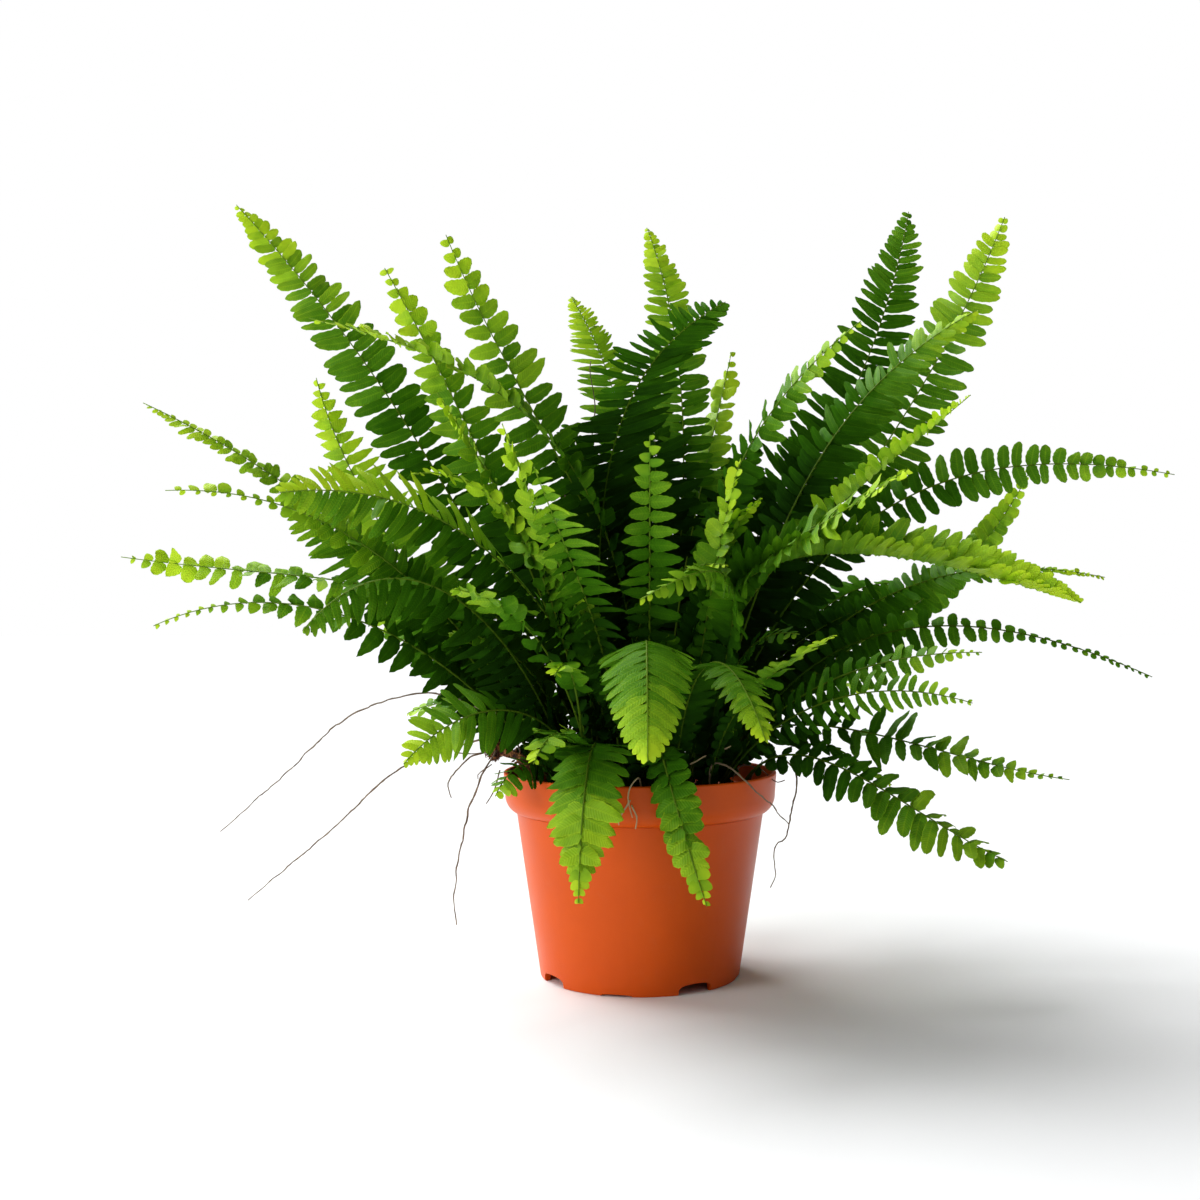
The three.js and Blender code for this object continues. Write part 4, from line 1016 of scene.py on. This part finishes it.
def pot_profile():
    return rounded([
        (0, 0, 0),
        (HUB_RADIUS, 0, 0.6),
        (HUB_RADIUS + 1.5, FOOT_HEIGHT, 0.6),
        (FOOT_RADIUS - FOOT_WIDTH - 1, FOOT_HEIGHT, 0.6),
        (FOOT_RADIUS - FOOT_WIDTH, 0, 0.4),
        (FOOT_RADIUS, 0, 0.7),
        (BODY_TOP_RADIUS, RIM_BOTTOM, 0),
        *rim_round(),
        (RIM_LOWER_RADIUS, RIM_ROUND_TOP, 0),
        (RIM_RADIUS, POT_HEIGHT, 0.9),
        (RIM_RADIUS - WALL, POT_HEIGHT, 0.6),
        (RIM_LOWER_RADIUS - WALL, RIM_ROUND_TOP + 0.6, 0.6),
        (BODY_TOP_RADIUS - WALL + 0.2, RIM_BOTTOM + WALL, 0.6),
        (FOOT_RADIUS - WALL + 0.8, FOOT_HEIGHT + WALL, 1.5),
        (HUB_RADIUS + 0.9, FOOT_HEIGHT + WALL, 0.5),
        (HUB_RADIUS - 1, WALL, 0.5),
        (0, WALL, 0),
    ])


def prism_faces(n):
    """Faces of a prism with n points at each end."""
    walls = [(i, (i + 1) % n, (i + 1) % n + n, i + n) for i in range(n)]
    return [tuple(reversed(range(n))), tuple(range(n, 2 * n)), *walls]


def arch_prism(half_width, height, near, far, turn):
    """A prism with a rounded top that cuts one notch in the foot."""
    outline = [(-half_width, -height), (half_width, -height), (half_width, height * 0.55)]
    outline += [(half_width * math.cos(a) * 0.9, height * (0.7 + 0.3 * math.sin(a)))
                for a in np.linspace(0.25, math.pi - 0.25, 7)]
    outline.append((-half_width, height * 0.55))
    c, s = math.cos(turn), math.sin(turn)
    verts = [(x * c + y * s, x * s - y * c, z) for y in (near, far) for x, z in outline]
    return verts, prism_faces(len(outline))


def drain_prism(turn):
    """A round prism that cuts one drain hole in the pot's floor."""
    x, y = DRAIN_PLACE * math.sin(turn), -DRAIN_PLACE * math.cos(turn)
    verts = []
    for z in (FOOT_HEIGHT - WALL, FOOT_HEIGHT + 2 * WALL):
        verts += [(x + dx, y + dy, z) for dx, dy in ring(DRAIN_RADIUS, DRAIN_SIDES)]
    return verts, prism_faces(DRAIN_SIDES)


def pot_cutters():
    near, far = FOOT_RADIUS - NOTCH_REACH, FOOT_RADIUS + NOTCH_REACH
    for angle in NOTCH_ANGLES:
        turn = math.radians(angle)
        between = turn + math.radians(SHALLOW_NOTCH_TURN)
        yield arch_prism(NOTCH_WIDTH / 2, FOOT_HEIGHT, near, far, turn)
        yield arch_prism(SHALLOW_NOTCH_WIDTH / 2, SHALLOW_NOTCH_HEIGHT, near, far, between)
        yield drain_prism(turn)


def make_pot(material):
    verts, faces = lathe(pot_profile(), POT_SIDES)
    pot = new_object("fine_pot", verts, faces, material)
    tools = [mesh_object("tool", verts, faces) for verts, faces in pot_cutters()]
    for tool in tools:
        cut = pot.modifiers.new("cut", "BOOLEAN")
        cut.operation, cut.solver, cut.object = "DIFFERENCE", "EXACT", tool
    bpy.context.view_layer.update()
    mesh = bpy.data.meshes.new_from_object(pot.evaluated_get(bpy.context.evaluated_depsgraph_get()))
    pot.modifiers.clear()
    pot.data = mesh
    mesh.set_sharp_from_angle(angle=math.radians(SHARP_TURN))
    for tool in tools:
        bpy.data.objects.remove(tool)
    dress(pot, "pot", "pot")


# Soil

def soil_height(x, y):
    """Height of the soil's top: level in the middle, lower at the wall, and uneven all over."""
    edge = min(1, max(0, (math.hypot(x, y) - SOIL_LEVEL) / SOIL_SLOPE))
    low = SOIL_TOP - SOIL_WAVE + (SOIL_EDGE - SOIL_TOP + SOIL_WAVE) * edge
    coarse = noise.noise(Vector((x * 0.09, y * 0.09, 3.1)))
    fine = noise.noise(Vector((x * 0.35, y * 0.35, 7.7)))
    crumb = abs(noise.noise(Vector((x * 0.9, y * 0.9, 1.3))))
    return low + (0.9 * coarse + 0.8 * fine + 1.0 * crumb) * (1 - 0.5 * edge)


def ball(rings, sides):
    """Directions all over a ball, ring by ring from its top, and the faces between them."""
    ways, faces = [], []
    for i in range(rings + 1):
        lat = math.pi * i / rings
        for j in range(sides):
            lon = 2 * math.pi * j / sides
            ways.append([math.sin(lat) * math.cos(lon), math.sin(lat) * math.sin(lon), math.cos(lat)])
    for i in range(0, rings * sides, sides):
        for j in range(sides):
            k = (j + 1) % sides
            faces.append((i + j, i + sides + j, i + sides + k, i + k))
    return np.array(ways), faces


CLOD_BALL = ball(4, 6)


def clod(rng, centre, size):
    """A lump of peat with a few rough faces."""
    stretch = rng.uniform(0.6, 1.2, 3) * size
    ways, faces = CLOD_BALL
    push = rng.uniform(0.75, 1.15, (len(ways), 1))
    return centre + stretch * push * ways, faces, {}


def soil_body():
    """The soil, from its wavy top down to the pot's floor."""
    wall = BODY_TOP_RADIUS - WALL - FIT_GAP
    floor = FOOT_HEIGHT + WALL + FIT_GAP
    verts = [(0, 0, soil_height(0, 0))]
    for r in np.linspace(0, 1, SOIL_RINGS + 1)[1:] ** 0.9 * (wall + 2.2):
        verts += [(x, y, soil_height(x, y)) for x, y in ring(r, SOIL_SIDES)]
    for r, z in ((wall - 0.1, RIM_BOTTOM + WALL), (FOOT_RADIUS - WALL + 0.4 - FIT_GAP, floor)):
        verts += [(x, y, z) for x, y in ring(r, SOIL_SIDES)]
    verts.append((0, 0, floor))
    # The rings go down, so each face is turned over
    faces = [(first, *rest[::-1]) for first, *rest in turned_faces(SOIL_RINGS + 2, SOIL_SIDES)]
    return np.array(verts), faces, {}


def make_soil(material):
    rng = np.random.default_rng(SEED)
    parts = [soil_body()]
    for _ in range(CLODS):
        r, a = CLOD_REACH * math.sqrt(rng.uniform()), rng.uniform(0, 2 * math.pi)
        x, y = r * math.cos(a), r * math.sin(a)
        size = CLOD_SIZE + CLOD_SPREAD * rng.uniform() ** 3
        parts.append(clod(rng, np.array([x, y, soil_height(x, y) + 0.2 * size]), size))
    add_piece("fine_soil", parts, material, "soil", "soil")


# Rhizome and runners

def spline(points, steps):
    """Even steps along a smooth curve through points, as three.js draws it."""
    p = np.array(points, float)
    p = np.concatenate([[2 * p[0] - p[1]], p, [2 * p[-1] - p[-2]]])
    out = []
    for a, b, c, d in zip(p[:-3], p[1:-2], p[2:-1], p[3:]):
        t0, t1, t2 = (max(np.linalg.norm(v) ** 0.5, 1e-6) for v in (b - a, c - b, d - c))
        m1 = t1 * ((b - a) / t0 - (c - a) / (t0 + t1) + (c - b) / t1)
        m2 = t1 * ((c - b) / t1 - (d - b) / (t1 + t2) + (d - c) / t2)
        for t in np.linspace(0, 1, 12, endpoint=False):
            out.append((2 * t**3 - 3 * t**2 + 1) * b + (t**3 - 2 * t**2 + t) * m1
                       + (3 * t**2 - 2 * t**3) * c + (t**3 - t**2) * m2)
    out.append(p[-2])
    out = np.array(out)
    run = np.concatenate([[0], np.cumsum(np.linalg.norm(np.diff(out, axis=0), axis=1))])
    at = np.linspace(0, run[-1], steps + 1)
    return np.stack([np.interp(at, run, out[:, k]) for k in range(3)], axis=1), run[-1]


def wire(points, radius, rng, wander=0.22, taper=0.55, sides=7):
    """A thin crooked stem through points, thinner at its end."""
    _, length = spline(points, 4)
    steps = max(6, int(length / WIRE_STEP))
    path, _ = spline(points, steps)
    shares = np.linspace(0, 1, steps + 1)
    sway = rng.normal(size=(steps + 1, 3)) * wander
    sway[1:-1] = (sway[:-2] + sway[1:-1] + sway[2:]) / 2
    path = path + sway * np.sin(np.pi * shares)[:, None] ** 0.3
    along = unit(np.gradient(path, axis=0))
    side = unit(np.cross([0, 1, 0.3], along[0]))
    across = []
    for way in along:
        side = unit(side - way * side.dot(way))
        across.append(side)
    across = np.array(across)
    up = np.cross(along, across)
    radii = radius * (1 - taper * shares**1.5) * rng.uniform(0.8, 1.2, steps + 1)
    verts, faces = ring_tube(path, across, up, radii, sides)
    return verts, faces, {"wiry": np.full(len(verts), float(radius < 1))}


def scale_leaf(rng, root, out, size):
    """A small pointed scale that lies along a stem."""
    out = unit(out)
    side = unit(np.cross(out, rng.normal(size=3)))
    top = np.cross(side, out)
    tip, mid = root + out * size, root + out * size * 0.4
    width = size * 0.24
    verts = [root + side * width * 0.5, root - side * width * 0.5, mid - side * width + top * 0.1,
             mid + side * width + top * 0.1, tip, root + top * 0.15, mid + top * 0.35]
    faces = [(0, 3, 6, 5), (5, 6, 2, 1), (3, 4, 6), (6, 4, 2), (0, 1, 2, 3), (3, 2, 4), (0, 5, 1)]
    return np.array(verts), faces, {}


def scaly_lump(rng):
    """The rhizome's head: a rough ball with scales that lie down over it."""
    centre, radii = np.array(HEAD_CENTRE), np.array(HEAD_RADII)
    ways, faces = ball(14, 20)
    push = np.array([[0.92 + 0.2 * noise.noise(Vector(way * 3.1))] for way in ways])
    parts = [(centre + radii * ways * push, faces, {})]
    for _ in range(HEAD_SCALES):
        way = unit(rng.normal(size=3))
        lean = unit(way * 0.7 + np.array([-0.3, -0.2, -0.6]) + rng.normal(size=3) * 0.3)
        parts.append(scale_leaf(rng, centre + radii * way * 0.9, lean, rng.uniform(1.0, 1.7)))
    return parts


def scaly_stem(rng):
    """The short thick stem that carries the head, with longer scales."""
    parts = [wire(RHIZOME_STEM, STEM_RADIUS, rng, wander=0.1, taper=0.1, sides=10)]
    for point in spline(RHIZOME_STEM, 40)[0][12:]:
        for _ in range(4):
            way = unit(rng.normal(size=3))
            parts.append(scale_leaf(rng, point + way * 1.8, way + [-0.6, 0, 0.4], rng.uniform(1.4, 2.8)))
    return parts


def wires(routes, radius, straw, rng, **bends):
    """Stems along several routes, as one set of points and faces, with one share of straw colour."""
    verts, faces, _ = merge([wire(points, radius, rng, **bends) for points in routes])
    return verts, faces, {"straw": np.full(len(verts), straw)}


def make_twigs(material, rng):
    """Short broken roots, one bare stalk, and bits of straw on the soil."""
    parts = []
    for routes, radius, straw in ((TWIGS, TWIG_RADIUS, 0.0), (STRAWS, STRAW_RADIUS, 0.7)):
        parts.append(wires(routes, radius, straw, rng, wander=0.08, taper=0.3))
    add_piece("loose_twigs", parts, material, "runner", keys=("straw",))


def make_runners(materials):
    rng = np.random.default_rng(RUNNERS_SEED)
    parts = scaly_lump(rng) + scaly_stem(rng)
    parts += [wire(points, RUNNER_RADIUS, rng) for points in LEFT_RUNNERS]
    add_piece("fine_rhizome", parts, materials["rhizome"], "rhizome", "rhizome", keys=("wiry",))
    make_twigs(materials["runner"], rng)
    for name, routes, straw in (("runner_right", RIGHT_RUNNERS, 0.15), ("root_front", FRONT_ROOTS, 0.75)):
        parts = [wires(routes, RUNNER_RADIUS, straw, rng)]
        add_piece(f"fine_{name}", parts, materials["runner"], "runner", name, keys=("straw",))


# Floor, light and camera

WORLD_LIGHT = 0.13
WORLD_SEEN = 1.0
KEY_FROM = (-0.66, 0.6, 0.95)
KEY_POWER = 4.85
KEY_SPREAD = 50
# Name, place and aim in metres, size and power
LAMPS = (
    ("side", (-1.3, -0.9, 0.7), (0, 0, 0.08), 0.9, 13),
    ("fill", (0.1, -1.5, 1.2), (0, 0, 0.1), 1.2, 2),
)
FLOOR_REACH = 6000


def make_floor(material):
    corners = [(-1, -1, 0), (1, -1, 0), (1, 1, 0), (-1, 1, 0)]
    new_object("floor", np.array(corners) * FLOOR_REACH, [(0, 1, 2, 3)], material)


def add_lamp(name, kind, place, aim, **settings):
    data = bpy.data.lights.new(name, kind)
    for key, value in settings.items():
        setattr(data, key, value)
    lamp = add_object(name, data)
    lamp.location = place
    lamp.rotation_euler = (Vector(aim) - Vector(place)).to_track_quat("-Z", "Y").to_euler()


def make_world():
    """White where the camera sees it, and a dim light everywhere else."""
    world = bpy.data.worlds.new("studio")
    bpy.context.scene.world = world
    world.use_nodes = True
    tree = world.node_tree
    background = tree.nodes["Background"]
    background.inputs["Color"].default_value = (1, 1, 1, 1)
    seen = tree.nodes.new("ShaderNodeLightPath").outputs["Is Camera Ray"]
    strength = tree.nodes.new("ShaderNodeMapRange")
    strength.inputs["To Min"].default_value = WORLD_LIGHT
    strength.inputs["To Max"].default_value = WORLD_SEEN
    tree.links.new(seen, strength.inputs["Value"])
    tree.links.new(strength.outputs["Result"], background.inputs["Strength"])


def make_light():
    """A broad high sun from behind on the left, and two soft lamps in front."""
    add_lamp("key", "SUN", KEY_FROM, (0, 0, 0), energy=KEY_POWER, angle=math.radians(KEY_SPREAD))
    for name, place, aim, size, power in LAMPS:
        add_lamp(name, "AREA", place, aim, energy=power, shape="DISK", size=size)


def make_camera():
    data = bpy.data.cameras.new("camera")
    data.lens, data.shift_x, data.sensor_width = CAMERA_LENS, CAMERA_SHIFT, CAMERA_SENSOR
    camera = add_object("camera", data)
    camera.location = CAMERA_PLACE
    camera.rotation_euler = (math.radians(90), 0, 0)
    bpy.context.scene.camera = camera
    bpy.context.scene.view_settings.view_transform = "Standard"


leaf_materials = {slot: leaf_material(slot) for slot in ("frond_old", "frond_full", "frond_young")}
make_fronds(leaf_materials)
make_shoots(leaf_materials["frond_old"])
make_pot(pot_material())
make_soil(soil_material())
make_runners({"rhizome": rhizome_material(), "runner": wire_material()})
make_floor(floor_material())
make_world()
make_light()
make_camera()
